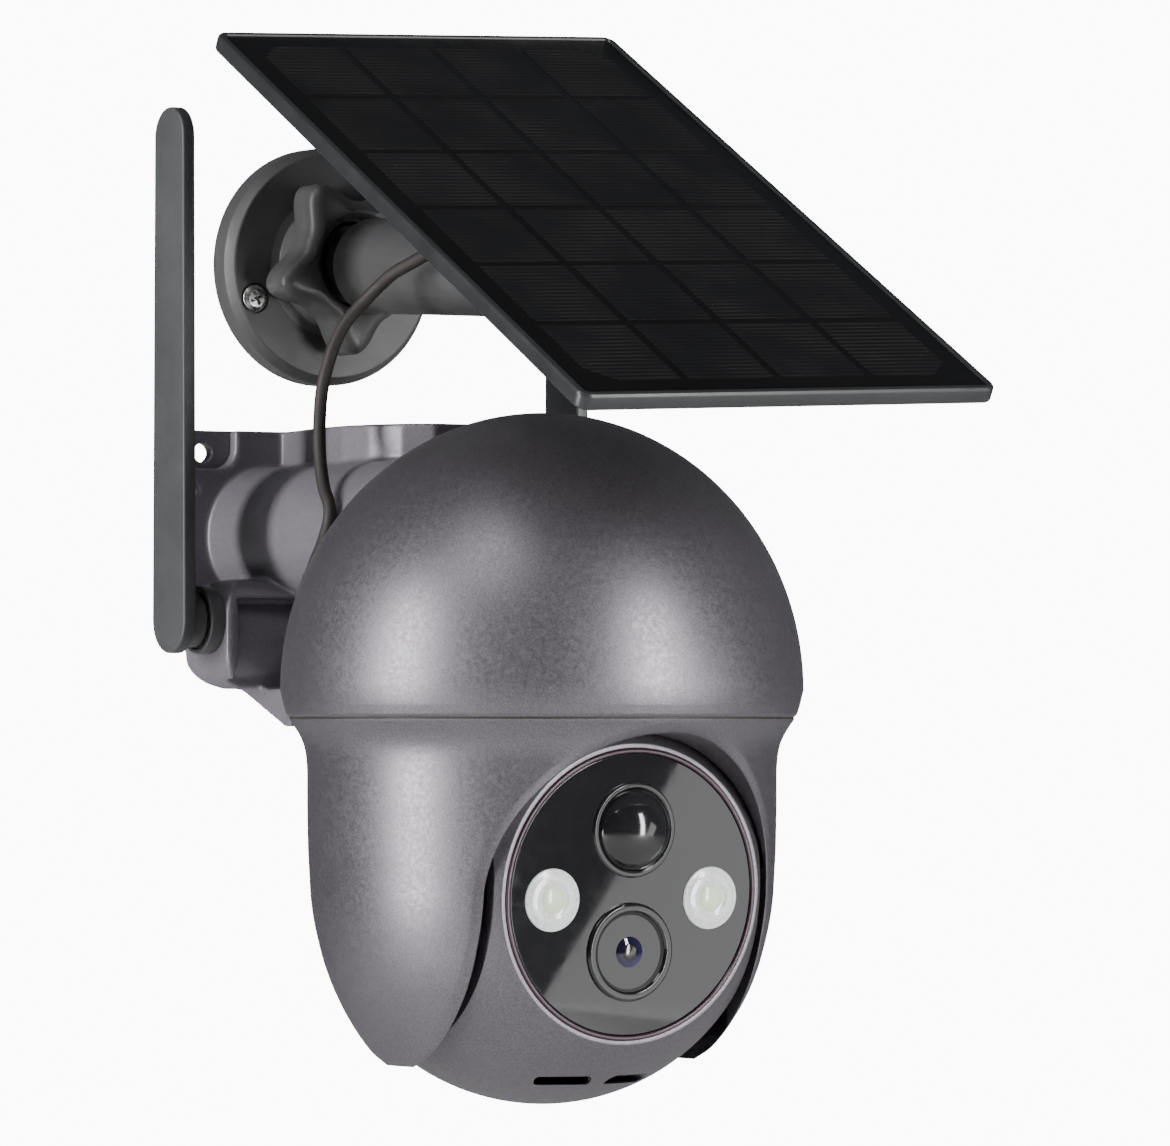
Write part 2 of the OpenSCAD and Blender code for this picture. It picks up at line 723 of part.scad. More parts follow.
module bracket_screws() {
    color(steel_c) at_bracket_screws() {
        rod_y(2, -7.5, 0);
        rod_y(3.2, -9, -7.4);
    }
}
module star_nut() {
    color(dark_c) at_joint() difference() {
        rotate([90, 0, 0]) translate([0, 0, -1]) linear_extrude(10) {
            circle(r = 16.4);
            for (i = [0:4]) rotate(51 + 72 * i) translate([nut_r - 4.6, 0]) circle(r = 4.6);
        }
        rod_y(collar_r + run, -4.8, 10);
        rod_y(10.6, -20, 0);
    }
}
module ball_seat() {
    front = 4;
    back = -7;
    inner = joint_ball_r + run;
    color([0.8, 0.8, 0.78]) along_arm_rest() rotate_extrude($fn = 96) polygon(concat(
        arc(seat_r, acos(front / seat_r), acos(back / seat_r)),
        arc(inner, acos(back / inner), acos(front / inner), true)));
}
ear_x = 4.4;
ear_t = 4.6;
module panel_arm() {
    neck = 6;
    color(dark_c) at_arm() {
        rotate([90, 0, 0]) rotate_extrude($fn = 96) polygon(concat(
            arc(joint_ball_r, 180, asin(neck / joint_ball_r)),
            [[7.4, 9.4], [9.6, 13], [arm_r, 14.4], [arm_r, 90.4], [0, 90.4]]));
        // two ears that hold the panel's bracket
        for (x = [-ear_x - ear_t, ear_x]) translate([x, -arm_l, 0]) rotate([90, 0, 90])
            linear_extrude(ear_t) difference() {
                union() {
                    circle(r = 8);
                    translate([0, -6.2]) square([14, 12.4]);
                }
                circle(r = 3);
            }
    }
}
module clamp_bolt() {
    color(steel_c) at_hinge() {
        rod_x(3, -ear_x - ear_t, 17);
        rod_x(5.2, -ear_x - ear_t - 3, -ear_x - ear_t);
    }
}
module clamp_knob() {
    color(dark_c) at_hinge() difference() {
        union() {
            rod_x(6, ear_x + ear_t + 0.3, ear_x + ear_t + 3);
            translate([ear_x + ear_t + 2, 0, 0]) rotate([0, 90, 0]) linear_extrude(8) {
                circle(r = 9);
                for (i = [0:5]) rotate(60 * i) translate([7.6, 0]) circle(r = 2.6);
            }
        }
        rod_x(3 + run, 0, 18);
    }
}

// ---- solar panel ----
border = 3;
cell_floor = 2.5;
module panel_frame() {
    color(black_c) at_panel() translate([0, 0, -panel_t]) difference() {
        linear_extrude(panel_t) round_rect(panel_w, panel_l, 3);
        translate([0, 0, panel_t - cell_floor]) linear_extrude(panel_t)
            round_rect(panel_w - 2 * border, panel_l - 2 * border, 1.5);
    }
}
cell_cols = 4;
cell_rows = 6;
cell_gap = 2;
cell_margin = 7;
module solar_cells() {
    w = (panel_w - 2 * cell_margin + cell_gap) / cell_cols;
    l = (panel_l - 2 * cell_margin + cell_gap) / cell_rows;
    color([0.03, 0.03, 0.04]) at_panel() for (i = [0:cell_cols - 1], j = [0:cell_rows - 1])
        translate([cell_margin - panel_w / 2 + i * w, cell_margin - panel_l / 2 + j * l,
                   -cell_floor])
            cube([w - cell_gap, l - cell_gap, 0.5]);
}
module panel_glass() {
    color([0.1, 0.1, 0.12]) at_panel() translate([0, 0, 0.5 - cell_floor])
        linear_extrude(cell_floor - 0.7)
            round_rect(panel_w - 2 * border - 0.2, panel_l - 2 * border - 0.2, 1.5);
}
module panel_bracket() {
    color(dark_c) at_panel() {
        translate([0, hinge_py, -panel_t - 2]) linear_extrude(2) round_rect(30, 34, 4);
        // sealed box that the cable comes out of
        translate([-20, 32.6, -panel_t - 6]) linear_extrude(6) round_rect(16, 22, 3);
    }
    color(dark_c) difference() {
        union() {
            at_hinge() rod_x(8, -ear_x + 0.4, ear_x - 0.4);
            at_panel() span([-ear_x + 0.4, hinge_py - 8, -panel_t - hinge_drop],
                            [ear_x - 0.4, hinge_py + 8, -panel_t - 1]);
        }
        at_hinge() rod_x(3 + run, -20, 20);
    }
}
gland_py = 32.6;
module cable_gland() {
    color(black_c) at_panel() translate([-16, gland_py, -panel_t - 6]) mirror([0, 0, 1])
        rotate_extrude($fn = 48) polygon([[0, 0], [3.6, 0], [3.6, 2], [2.2, 3], [2, 4.4], [0, 4.4]]);
}

// ---- cable ----
module cable_plug() {
    color(black_c) translate([socket_x, socket_y, socket_top]) {
        translate([0, 0, -5.5]) cylinder(r = 2.3, h = 7);
        translate([0, 0, 0.8]) cylinder(r = 3.2, h = 11.2);
        translate([0, 0, 12 - eps]) cylinder(r1 = 2.6, r2 = 1.9, h = 3.5 + eps);
    }
}
module cable_lower() { color(black_c) cord(cable_low, cable_r); }
module cable_middle() { color(black_c) cord(cable_mid, cable_r); }
module cable_upper() { color(black_c) cord(cable_up, cable_r); }

back_plate();
housing_shell();
housing_gasket();
housing_screws();
battery_cells();
battery_holder();
charge_board();
charge_socket();
antenna_left_socket();
antenna_right_socket();
dome_shell();
dome_base();
dome_screws();
main_board();
pan_motor();
pan_bearing();
bracket_plate();
bracket_screws();
cable_plug();
cable_lower();
cable_middle();
cable_upper();
power_button();
yoke_shell();
yoke_carrier();
pan_gear();
pan_retainer();
cheek_cover_left();
cheek_cover_right();
tilt_motor();
tilt_bushes();
pan_pinion();
tilt_pinion();
ball_front();
ball_rear();
face_window();
face_bezel();
lens_barrel();
lens_glass();
pir_lens();
led_lenses();
sensor_board();
speaker();
tilt_axles();
tilt_gear();
ball_screws();
antenna_left_blade();
antenna_left_pin();
antenna_right_blade();
antenna_right_pin();
star_nut();
ball_seat();
panel_arm();
clamp_bolt();
clamp_knob();
panel_frame();
solar_cells();
panel_glass();
panel_bracket();
cable_gland();
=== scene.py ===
import math

import bmesh
import bpy
from mathutils import Matrix, Vector


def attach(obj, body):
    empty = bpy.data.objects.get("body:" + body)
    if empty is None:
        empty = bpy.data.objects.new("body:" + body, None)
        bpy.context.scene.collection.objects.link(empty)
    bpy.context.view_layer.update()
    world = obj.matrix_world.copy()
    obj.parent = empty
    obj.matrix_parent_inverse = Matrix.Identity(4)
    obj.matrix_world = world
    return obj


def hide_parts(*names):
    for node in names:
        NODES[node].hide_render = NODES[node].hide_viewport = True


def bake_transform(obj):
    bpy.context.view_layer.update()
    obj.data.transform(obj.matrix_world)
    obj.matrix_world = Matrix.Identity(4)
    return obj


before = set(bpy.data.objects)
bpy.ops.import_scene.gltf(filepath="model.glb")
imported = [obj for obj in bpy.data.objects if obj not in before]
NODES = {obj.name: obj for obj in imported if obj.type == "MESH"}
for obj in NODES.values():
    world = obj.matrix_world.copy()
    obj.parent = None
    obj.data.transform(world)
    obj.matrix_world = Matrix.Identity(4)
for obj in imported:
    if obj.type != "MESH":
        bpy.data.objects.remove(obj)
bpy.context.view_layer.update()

MM = 0.001
# places in millimetres, in the frame that the CAD nodes share
DOME_Y = -103
SEAM_Z = -37
BALL_Z = -73.7
BRACKET_Z = 70
FACE_DEPTH = 38


# ---- camera ----
def make_camera():
    """Level, from the left of straight ahead, with a small shift of aim for the framing."""
    swing, distance, pan, rise = 31.5, 1.65, 0.338, 1.131
    data = bpy.data.cameras.new("camera")
    data.lens = 224.4
    data.sensor_width = 36
    data.clip_end = 50
    cam = bpy.data.objects.new("camera", data)
    bpy.context.scene.collection.objects.link(cam)
    angle = math.radians(swing)
    ahead = Vector((math.sin(angle), math.cos(angle), 0))
    right = Vector((math.cos(angle), -math.sin(angle), 0))
    cam.location = Vector((0, DOME_Y, SEAM_Z)) * MM - distance * ahead
    aim = (ahead + right * math.tan(math.radians(pan))
           + Vector((0, 0, math.tan(math.radians(rise)))))
    cam.rotation_euler = aim.to_track_quat("-Z", "Y").to_euler()
    bpy.context.scene.camera = cam


make_camera()


# ---- materials ----
class Graph:
    """Short names for the node calls that the materials below share."""

    def __init__(self, name):
        self.mat = bpy.data.materials.new(name)
        self.mat.use_nodes = True
        self.tree = self.mat.node_tree
        self.tree.nodes.clear()
        self.out = self.add("OutputMaterial")
        self.bsdf = self.add("BsdfPrincipled")
        self.join(self.bsdf.outputs[0], self.out.inputs["Surface"])
        self.co = self.add("TexCoord").outputs["Object"]

    def add(self, kind, **values):
        node = self.tree.nodes.new("ShaderNode" + kind)
        for key, value in values.items():
            setattr(node, key, value)
        return node

    def join(self, a, b):
        self.tree.links.new(a, b)

    def put(self, socket, value):
        if isinstance(value, bpy.types.NodeSocket):
            self.join(value, socket)
        else:
            socket.default_value = value

    def noise(self, scale, detail=2.0, rough=0.5, at=None):
        node = self.add("TexNoise")
        self.join(at or self.co, node.inputs["Vector"])
        node.inputs["Scale"].default_value = scale
        node.inputs["Detail"].default_value = detail
        node.inputs["Roughness"].default_value = rough
        return node.outputs["Fac"]

    def cells(self, scale, at=None):
        node = self.add("TexVoronoi")
        self.join(at or self.co, node.inputs["Vector"])
        node.inputs["Scale"].default_value = scale
        return node.outputs["Distance"]

    def remap(self, value, low, high, a=0.3, b=0.7):
        node = self.add("MapRange")
        self.join(value, node.inputs["Value"])
        for name, v in (("From Min", a), ("From Max", b), ("To Min", low), ("To Max", high)):
            node.inputs[name].default_value = v
        return node.outputs[0]

    def math(self, kind, a, b=0.0):
        node = self.add("Math", operation=kind)
        self.put(node.inputs[0], a)
        self.put(node.inputs[1], b)
        return node.outputs[0]

    def blend(self, factor, a, b):
        node = self.add("Mix", data_type="RGBA")
        self.put(node.inputs[0], factor)
        self.put(node.inputs[6], a)
        self.put(node.inputs[7], b)
        return node.outputs[2]

    def bump(self, heights):
        """heights: (value, strength, distance in metres), stacked."""
        normal = None
        for value, strength, distance in heights:
            node = self.add("Bump")
            node.inputs["Strength"].default_value = strength
            node.inputs["Distance"].default_value = distance
            self.join(value, node.inputs["Height"])
            if normal:
                self.join(normal, node.inputs["Normal"])
            normal = node.outputs[0]
        self.join(normal, self.bsdf.inputs["Normal"])

    def set(self, **values):
        for key, value in values.items():
            self.put(self.bsdf.inputs[key.replace("_", " ")], value)
        return self


def rgb(r, g, b, k=1.0):
    return (r * k, g * k, b * k, 1.0)


def paint(name, colour, metallic=0.6, rough=0.42, flake=1.0):
    """Satin metallic paint over moulded plastic: fine flakes, orange peel, faint mottling."""
    g = Graph(name)
    r, gr, b = colour
    cloud = g.remap(g.noise(38, 3), 0, 1)
    speck = g.remap(g.noise(2600, 1), 0, 1, 0.35, 0.65)
    body = g.blend(cloud, rgb(r, gr, b, 0.9), rgb(r, gr, b, 1.08))
    body = g.blend(g.math("MULTIPLY", speck, 0.4 * flake), body, rgb(r, gr, b, 1.9))
    g.set(Base_Color=body, Metallic=metallic)
    g.set(Roughness=g.remap(g.noise(900, 2), rough - 0.05, rough + 0.06))
    g.bump([(g.noise(700, 2), 0.25, 0.00006), (g.noise(3200, 1), 0.35, 0.00003)])
    g.set(Coat_Weight=0.12, Coat_Roughness=0.35)
    return g.mat


def moulded(name, colour, rough=0.5, grain=1500, depth=0.00003, spread=0.12):
    """Injection-moulded plastic: spark-eroded grain, faint flow marks, handling sheen."""
    g = Graph(name)
    r, gr, b = colour
    cloud = g.remap(g.noise(55, 3), 0, 1)
    g.set(Base_Color=g.blend(cloud, rgb(r, gr, b, 1 - spread), rgb(r, gr, b, 1 + spread)))
    g.set(Roughness=g.remap(g.noise(140, 3), rough - 0.06, rough + 0.08))
    g.bump([(g.noise(grain, 2, 0.6), 0.4, depth), (g.noise(220, 2), 0.12, 0.0001)])
    return g.mat


def metal(name, colour, rough=0.32, stretch=(1, 1, 1)):
    """Turned or drawn metal, with fine tool marks and slight tarnish."""
    g = Graph(name)
    mapping = g.add("Mapping")
    g.join(g.co, mapping.inputs["Vector"])
    mapping.inputs["Scale"].default_value = stretch
    at = mapping.outputs[0]
    r, gr, b = colour
    g.set(Base_Color=g.blend(g.noise(300, 3), rgb(r, gr, b, 0.8), rgb(r, gr, b)), Metallic=1.0)
    g.set(Roughness=g.remap(g.noise(1800, 2, at=at), rough - 0.08, rough + 0.1))
    g.bump([(g.noise(2400, 2, at=at), 0.2, 0.00002)])
    return g.mat


def glossy(name, colour, rough=0.05, coat=0.6, haze=0.00001):
    """Polished acrylic, with a trace of dust and polish marks in its roughness."""
    g = Graph(name)
    r, gr, b = colour
    g.set(Base_Color=g.blend(g.noise(60, 2), rgb(r, gr, b, 0.85), rgb(r, gr, b, 1.1)))
    g.set(Roughness=g.remap(g.noise(260, 4, 0.7), rough, rough + 0.05))
    g.bump([(g.noise(90, 1), 0.05, haze)])
    g.set(Coat_Weight=coat, Coat_Roughness=0.03)
    return g.mat


SHELL = paint("shell_paint", (0.14, 0.13, 0.145), 0.8, 0.42)
# The housing's copy of the shell paint is lighter and less metallic: its extra brightness is
# painted fill light for the housing, which sits in the dome's shade.
SHELL_WITH_PAINTED_FILL = paint("housing_paint_with_painted_fill", (0.17, 0.158, 0.18), 0.3, 0.45, 0.6)
DARK = moulded("dark_plastic", (0.062, 0.062, 0.063), 0.4)
BLADE = moulded("antenna_plastic", (0.055, 0.057, 0.058), 0.46, 1900, 0.000025)
BLACK = moulded("black_plastic", (0.012, 0.012, 0.013), 0.45)
RUBBER = moulded("cable_rubber", (0.022, 0.018, 0.016), 0.62, 2200, 0.00002)
ACETAL = moulded("acetal", (0.72, 0.68, 0.58), 0.4)
BOARD = moulded("circuit_board", (0.012, 0.09, 0.035), 0.35, 800)
SLEEVE = glossy("cell_sleeve", (0.02, 0.09, 0.28), 0.15, 0.3)
STEEL = metal("steel", (0.58, 0.58, 0.58))
CAN = metal("motor_can", (0.5, 0.5, 0.51), 0.28)
SCREW = metal("screw_zinc", (0.5, 0.49, 0.48), 0.3)

LOOKS = {
    "housing_shell": SHELL_WITH_PAINTED_FILL, "back_plate": SHELL_WITH_PAINTED_FILL, "dome_shell": SHELL,
    "yoke_shell": SHELL, "cheek_cover_left": SHELL, "cheek_cover_right": SHELL,
    "ball_front": SHELL, "ball_rear": SHELL, "bracket_plate": DARK, "star_nut": DARK,
    "panel_arm": DARK, "clamp_knob": DARK, "panel_bracket": DARK,
    "antenna_left_blade": BLADE, "antenna_right_blade": BLADE, "antenna_left_pin": DARK,
    "antenna_right_pin": DARK, "antenna_left_socket": DARK, "antenna_right_socket": DARK,
    "dome_base": BLACK, "yoke_carrier": BLACK, "battery_holder": BLACK,
    "housing_gasket": RUBBER, "cable_plug": RUBBER, "cable_lower": RUBBER,
    "cable_middle": RUBBER, "cable_upper": RUBBER, "cable_gland": RUBBER,
    "power_button": RUBBER, "housing_screws": SCREW, "dome_screws": SCREW,
    "bracket_screws": SCREW, "ball_screws": SCREW, "clamp_bolt": SCREW,
    "pan_retainer": STEEL, "tilt_axles": STEEL, "pan_motor": CAN, "tilt_motor": CAN,
    "charge_board": BOARD, "main_board": BOARD, "sensor_board": BOARD,
    "battery_cells": SLEEVE, "charge_socket": BLACK, "lens_barrel": BLACK,
    "speaker": BLACK, "panel_frame": BLACK, "pan_bearing": ACETAL, "pan_gear": ACETAL,
    "tilt_bushes": ACETAL, "pan_pinion": ACETAL, "tilt_pinion": ACETAL,
    "tilt_gear": ACETAL, "ball_seat": BLACK,
}
for node, look in LOOKS.items():
    data = NODES[node].data
    data.materials.clear()
    data.materials.append(look)


# ---- shape helpers: points in millimetres in the row frame, one loft per shape ----
def shift(x, y, z):
    return Matrix.Translation(Vector((x, y, z)))


def turn(degrees, axis):
    return Matrix.Rotation(math.radians(degrees), 4, axis)


def piece(name, verts, faces, look, body, stands_for=(), sharp=38, at=None):
    """A mesh from points in millimetres, shaded smooth with its hard edges kept."""
    data = bpy.data.meshes.new(name)
    at = at or Matrix.Identity(4)
    data.from_pydata([tuple((at @ Vector(v)) * MM) for v in verts], [], faces)
    obj = bpy.data.objects.new(name, data)
    bpy.context.scene.collection.objects.link(obj)
    clean(obj)
    return dress(obj, look, body, stands_for, sharp)


def clean(obj):
    b = bmesh.new()
    b.from_mesh(obj.data)
    bmesh.ops.remove_doubles(b, verts=b.verts, dist=2e-6)
    bmesh.ops.recalc_face_normals(b, faces=b.faces)
    b.to_mesh(obj.data)
    b.free()


def dress(obj, look, body, stands_for=(), sharp=38):
    data = obj.data
    data.materials.clear()
    data.materials.append(look)
    data.polygons.foreach_set("material_index", [0] * len(data.polygons))
    data.shade_smooth()
    data.set_sharp_from_angle(angle=math.radians(sharp))
    if body:
        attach(obj, body)
    if stands_for:
        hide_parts(*stands_for)
    return obj


def rings(loops, caps=(True, True), closed=False):
    """Quads between loops of equal length, with flat ends."""
    n = len(loops[0])
    verts = [v for loop in loops for v in loop]
    faces = []
    pairs = list(zip(range(len(loops)), range(1, len(loops))))
    if closed:
        pairs.append((len(loops) - 1, 0))
    for a, b in pairs:
        for k in range(n):
            m = (k + 1) % n
            faces.append((a * n + k, a * n + m, b * n + m, b * n + k))
    if not closed:
        if caps[0]:
            faces.append(tuple(range(n))[::-1])
        if caps[1]:
            faces.append(tuple((len(loops) - 1) * n + k for k in range(n)))
    return verts, faces


def soft(points, radii, steps=5):
    """A line of points with its inner corners rounded off."""
    out = [points[0]]
    for i in range(1, len(points) - 1):
        r = radii if isinstance(radii, (int, float)) else radii[i]
        a, p, b = (Vector((*points[j], 0)) for j in (i - 1, i, i + 1))
        u, v = (a - p), (b - p)
        angle = u.angle(v)
        reach = min(r / math.tan(angle / 2), 0.45 * u.length, 0.45 * v.length) if r else 0
        if reach < 1e-4 or angle > 3.1:
            out.append(points[i])
            continue
        s, e = p + u.normalized() * reach, p + v.normalized() * reach
        for k in range(steps + 1):
            t = k / steps
            q = (1 - t) ** 2 * s + 2 * t * (1 - t) * p + t * t * e
            out.append((q.x, q.y))
    out.append(points[-1])
    return out


def lathe(name, profile, look, body, stands_for=(), at=None, segments=128, sharp=38,
          closed=False):
    """Turns (radius, height) points about the local Z axis."""
    loops = []
    for r, h in profile:
        r = max(r, 1e-4)
        loops.append([(r * math.cos(2 * math.pi * k / segments),
                       r * math.sin(2 * math.pi * k / segments), h) for k in range(segments)])
    verts, faces = rings(loops, closed=closed)
    return piece(name, verts, faces, look, body, stands_for, sharp, at)


def rect_loop(w, h, r, z, corner=8):
    """A rounded rectangle's outline, anticlockwise."""
    r = max(r, 0.05)
    out = []
    for cx, cy, a0 in ((w / 2 - r, h / 2 - r, 0), (r - w / 2, h / 2 - r, 90),
                       (r - w / 2, r - h / 2, 180), (w / 2 - r, r - h / 2, 270)):
        for k in range(corner + 1):
            a = math.radians(a0 + 90 * k / corner)
            out.append((cx + r * math.cos(a), cy + r * math.sin(a), z))
    return out


def inset_loop(points, d, z):
    """An outline moved in by d along its normals, at height z."""
    n = len(points)
    out = []
    for k in range(n):
        a, b = Vector(points[k - 1][:2]), Vector(points[(k + 1) % n][:2])
        t = (b - a).normalized()
        out.append((points[k][0] - t.y * d, points[k][1] + t.x * d, z))
    return out


def slab(name, outline, z0, z1, edge, look, body, stands_for=(), at=None, steps=4, sharp=38):
    """An outline given thickness, with both its edges rounded by edge."""
    loops = []
    for k in range(steps + 1):
        a = math.pi / 2 * k / steps
        loops.append(inset_loop(outline, edge * (1 - math.sin(a)), z0 + edge * (1 - math.cos(a))))
    for k in range(steps + 1):
        a = math.pi / 2 * (1 - k / steps)
        loops.append(inset_loop(outline, edge * (1 - math.sin(a)), z1 - edge * (1 - math.cos(a))))
    verts, faces = rings(loops)
    return piece(name, verts, faces, look, body, stands_for, sharp, at)


def carve(obj, *cutters):
    """Cuts the cutters out of obj, and removes them."""
    for cutter in cutters:
        mod = obj.modifiers.new("cut", "BOOLEAN")
        mod.object = cutter
        mod.operation = "DIFFERENCE"
        mod.solver = "EXACT"
    settle(obj)
    for cutter in cutters:
        bpy.data.objects.remove(cutter)


def settle(obj):
    """Applies the modifiers."""
    bpy.context.view_layer.update()
    deps = bpy.context.evaluated_depsgraph_get()
    data = bpy.data.meshes.new_from_object(obj.evaluated_get(deps))
    obj.modifiers.clear()
    obj.data = data


def softened(name, node, body, look, voxel=0.55, rounds=6, factor=0.5):
    """A moulded part with its edges eased, from the CAD solid's own shape."""
    obj = bpy.data.objects.new(name, NODES[node].data.copy())
    bpy.context.scene.collection.objects.link(obj)
    obj.data.materials.clear()
    clean(obj)
    remesh = obj.modifiers.new("remesh", "REMESH")
    remesh.mode = "VOXEL"
    remesh.voxel_size = voxel * MM
    ease = obj.modifiers.new("ease", "SMOOTH")
    ease.factor = factor
    ease.iterations = rounds
    settle(obj)
    return dress(obj, look, body, (node,), 60)


# ---- cable ----
def spline(points, per=6):
    """A smooth line through the points (Catmull-Rom)."""
    p = [Vector(q) for q in points]
    p = [2 * p[0] - p[1]] + p + [2 * p[-1] - p[-2]]
    out = []
    for i in range(1, len(p) - 2):
        for k in range(per):
            t = k / per
            out.append(0.5 * (2 * p[i] + (p[i + 1] - p[i - 1]) * t
                              + (2 * p[i - 1] - 5 * p[i] + 4 * p[i + 1] - p[i + 2]) * t * t
                              + (3 * p[i] - p[i - 1] - 3 * p[i + 1] + p[i + 2]) * t ** 3))
    out.append(p[-2])
    return out


CABLE = {
    "cable_lower": [
        (-29, -46.6, -9.4), (-29.1, -46.8, -8.6), (-29.8, -48.2, -7.2), (-31.2, -51, -5.4),
        (-32.4, -54.6, -3.7), (-33.9, -59.3, -1), (-34.8, -63.3, 1.8), (-35.1, -66, 5),
        (-34.9, -67.3, 8.6), (-34.5, -66.3, 11.6), (-34, -63.4, 14.8), (-33.4, -61.1, 18.3),
        (-32.8, -59.2, 22.5), (-32.3, -58, 27), (-32.03, -57.6, 30.2)],
    "cable_middle": [
        (-32.03, -57.6, 30.2), (-31.8, -57.8, 35.5), (-31.4, -58.4, 40), (-30.4, -59, 44.5),
        (-28.8, -59.3, 49), (-26.4, -60.1, 53.6), (-23.2, -62.2, 58.1)],
    "cable_upper": [
        (-23.2, -62.2, 58.1), (-20.2, -66.1, 62.6), (-18.8, -69.5, 64.9), (-17.2, -75.8, 67.2),
        (-16.6, -79.9, 68.6), (-16.3, -83.3, 70.4), (-16.3, -86.4, 72.6), (-16.4, -89, 75.2),
        (-16.5, -90.8, 78), (-16.59, -92.12, 80.32)],
}
# The whole route, so that each stretch leaves its neighbour in the same direction
ROUTE = CABLE["cable_lower"] + CABLE["cable_middle"][1:] + CABLE["cable_upper"][1:]


def cable(name, r=1.5, sides=16, per=6):
    line = spline(ROUTE, per)
    start = ROUTE.index(CABLE[name][0]) * per
    count = (len(CABLE[name]) - 1) * per
    part = line[start:start + count + 1]
    loops = []
    for i, p in enumerate(part):
        j = start + i
        ahead = (line[min(j + 1, len(line) - 1)] - line[max(j - 1, 0)]).normalized()
        a = ahead.cross(Vector((1, 0, 0))).normalized()
        b = ahead.cross(a)
        loops.append([tuple(p + r * (math.cos(2 * math.pi * k / sides) * a
                                     + math.sin(2 * math.pi * k / sides) * b))
                      for k in range(sides)])
    verts, faces = rings(loops)
    obj = piece(name.replace("cable_", "cord_"), verts, faces, RUBBER, None, (name,))
    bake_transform(obj)
    return obj


for key in CABLE:
    cable(key)


# ---- dome ----
def dome():
    profile = []
    for i in range(41):
        a = math.radians(90 - 90 * i / 40)
        profile.append((59.2 * math.cos(a), -30.9 + 62.7 * math.sin(a)))
    foot = [(59.2, -30.9), (58.4, -34.3), (57.75, -36.3), (57.2, -37), (54.6, -37), (55.2, -34.6)]
    profile = profile[:-1] + soft(foot, [0, 3, 0.6, 0.4, 0.6, 0])
    for i in range(40, -1, -1):
        a = math.radians(90 - 90 * i / 40)
        profile.append((56.6 * math.cos(a), -30.9 + 60.1 * math.sin(a)))
    return lathe("dome", profile, SHELL, "mount", ("dome_shell",), shift(0, DOME_Y, 0), 192)


dome()
lathe("seam_seal", [(50, -37.47), (57, -37.42), (57, -36.98), (54.3, -36.98), (54.3, -36.6),
                    (50, -36.6)], RUBBER, "mount", (), shift(0, DOME_Y, 0), 160, 38, True)


# ---- yoke: one skin whose opening is the arch, with a bevelled rim and a lining ----
YOKE = [(57.1, -0.4), (56.9, -0.9), (56, -2.1), (54.8, -4), (53.9, -6), (53.35, -8.5), (53.1, -12),
        (53.1, -20), (52.9, -30), (52.3, -41), (51.6, -46), (50.6, -50.5), (49.3, -55.5),
        (47.4, -60.7), (45.1, -65.6), (42.6, -70.2), (39.8, -74.8), (38.8, -76.3),
        (38, -77.3), (37.2, -78)]


def yoke_radius(z):
    line = YOKE
    if z >= line[0][1]:
        return line[0][0]
    for (r0, z0), (r1, z1) in zip(line, line[1:]):
        if z >= z1:
            return r0 + (r1 - r0) * (z - z0) / (z1 - z0)
    return line[-1][0]


def smooth_radius(z):
    """The yoke's radius at a height below the seam, with the profile's corners eased."""
    w = [(-1.6, 1), (-0.8, 2), (0, 3), (0.8, 2), (1.6, 1)]
    k = min(1, abs(z + 0.4) / 2)
    return sum(q * yoke_radius(z + d * k) for d, q in w) / 9


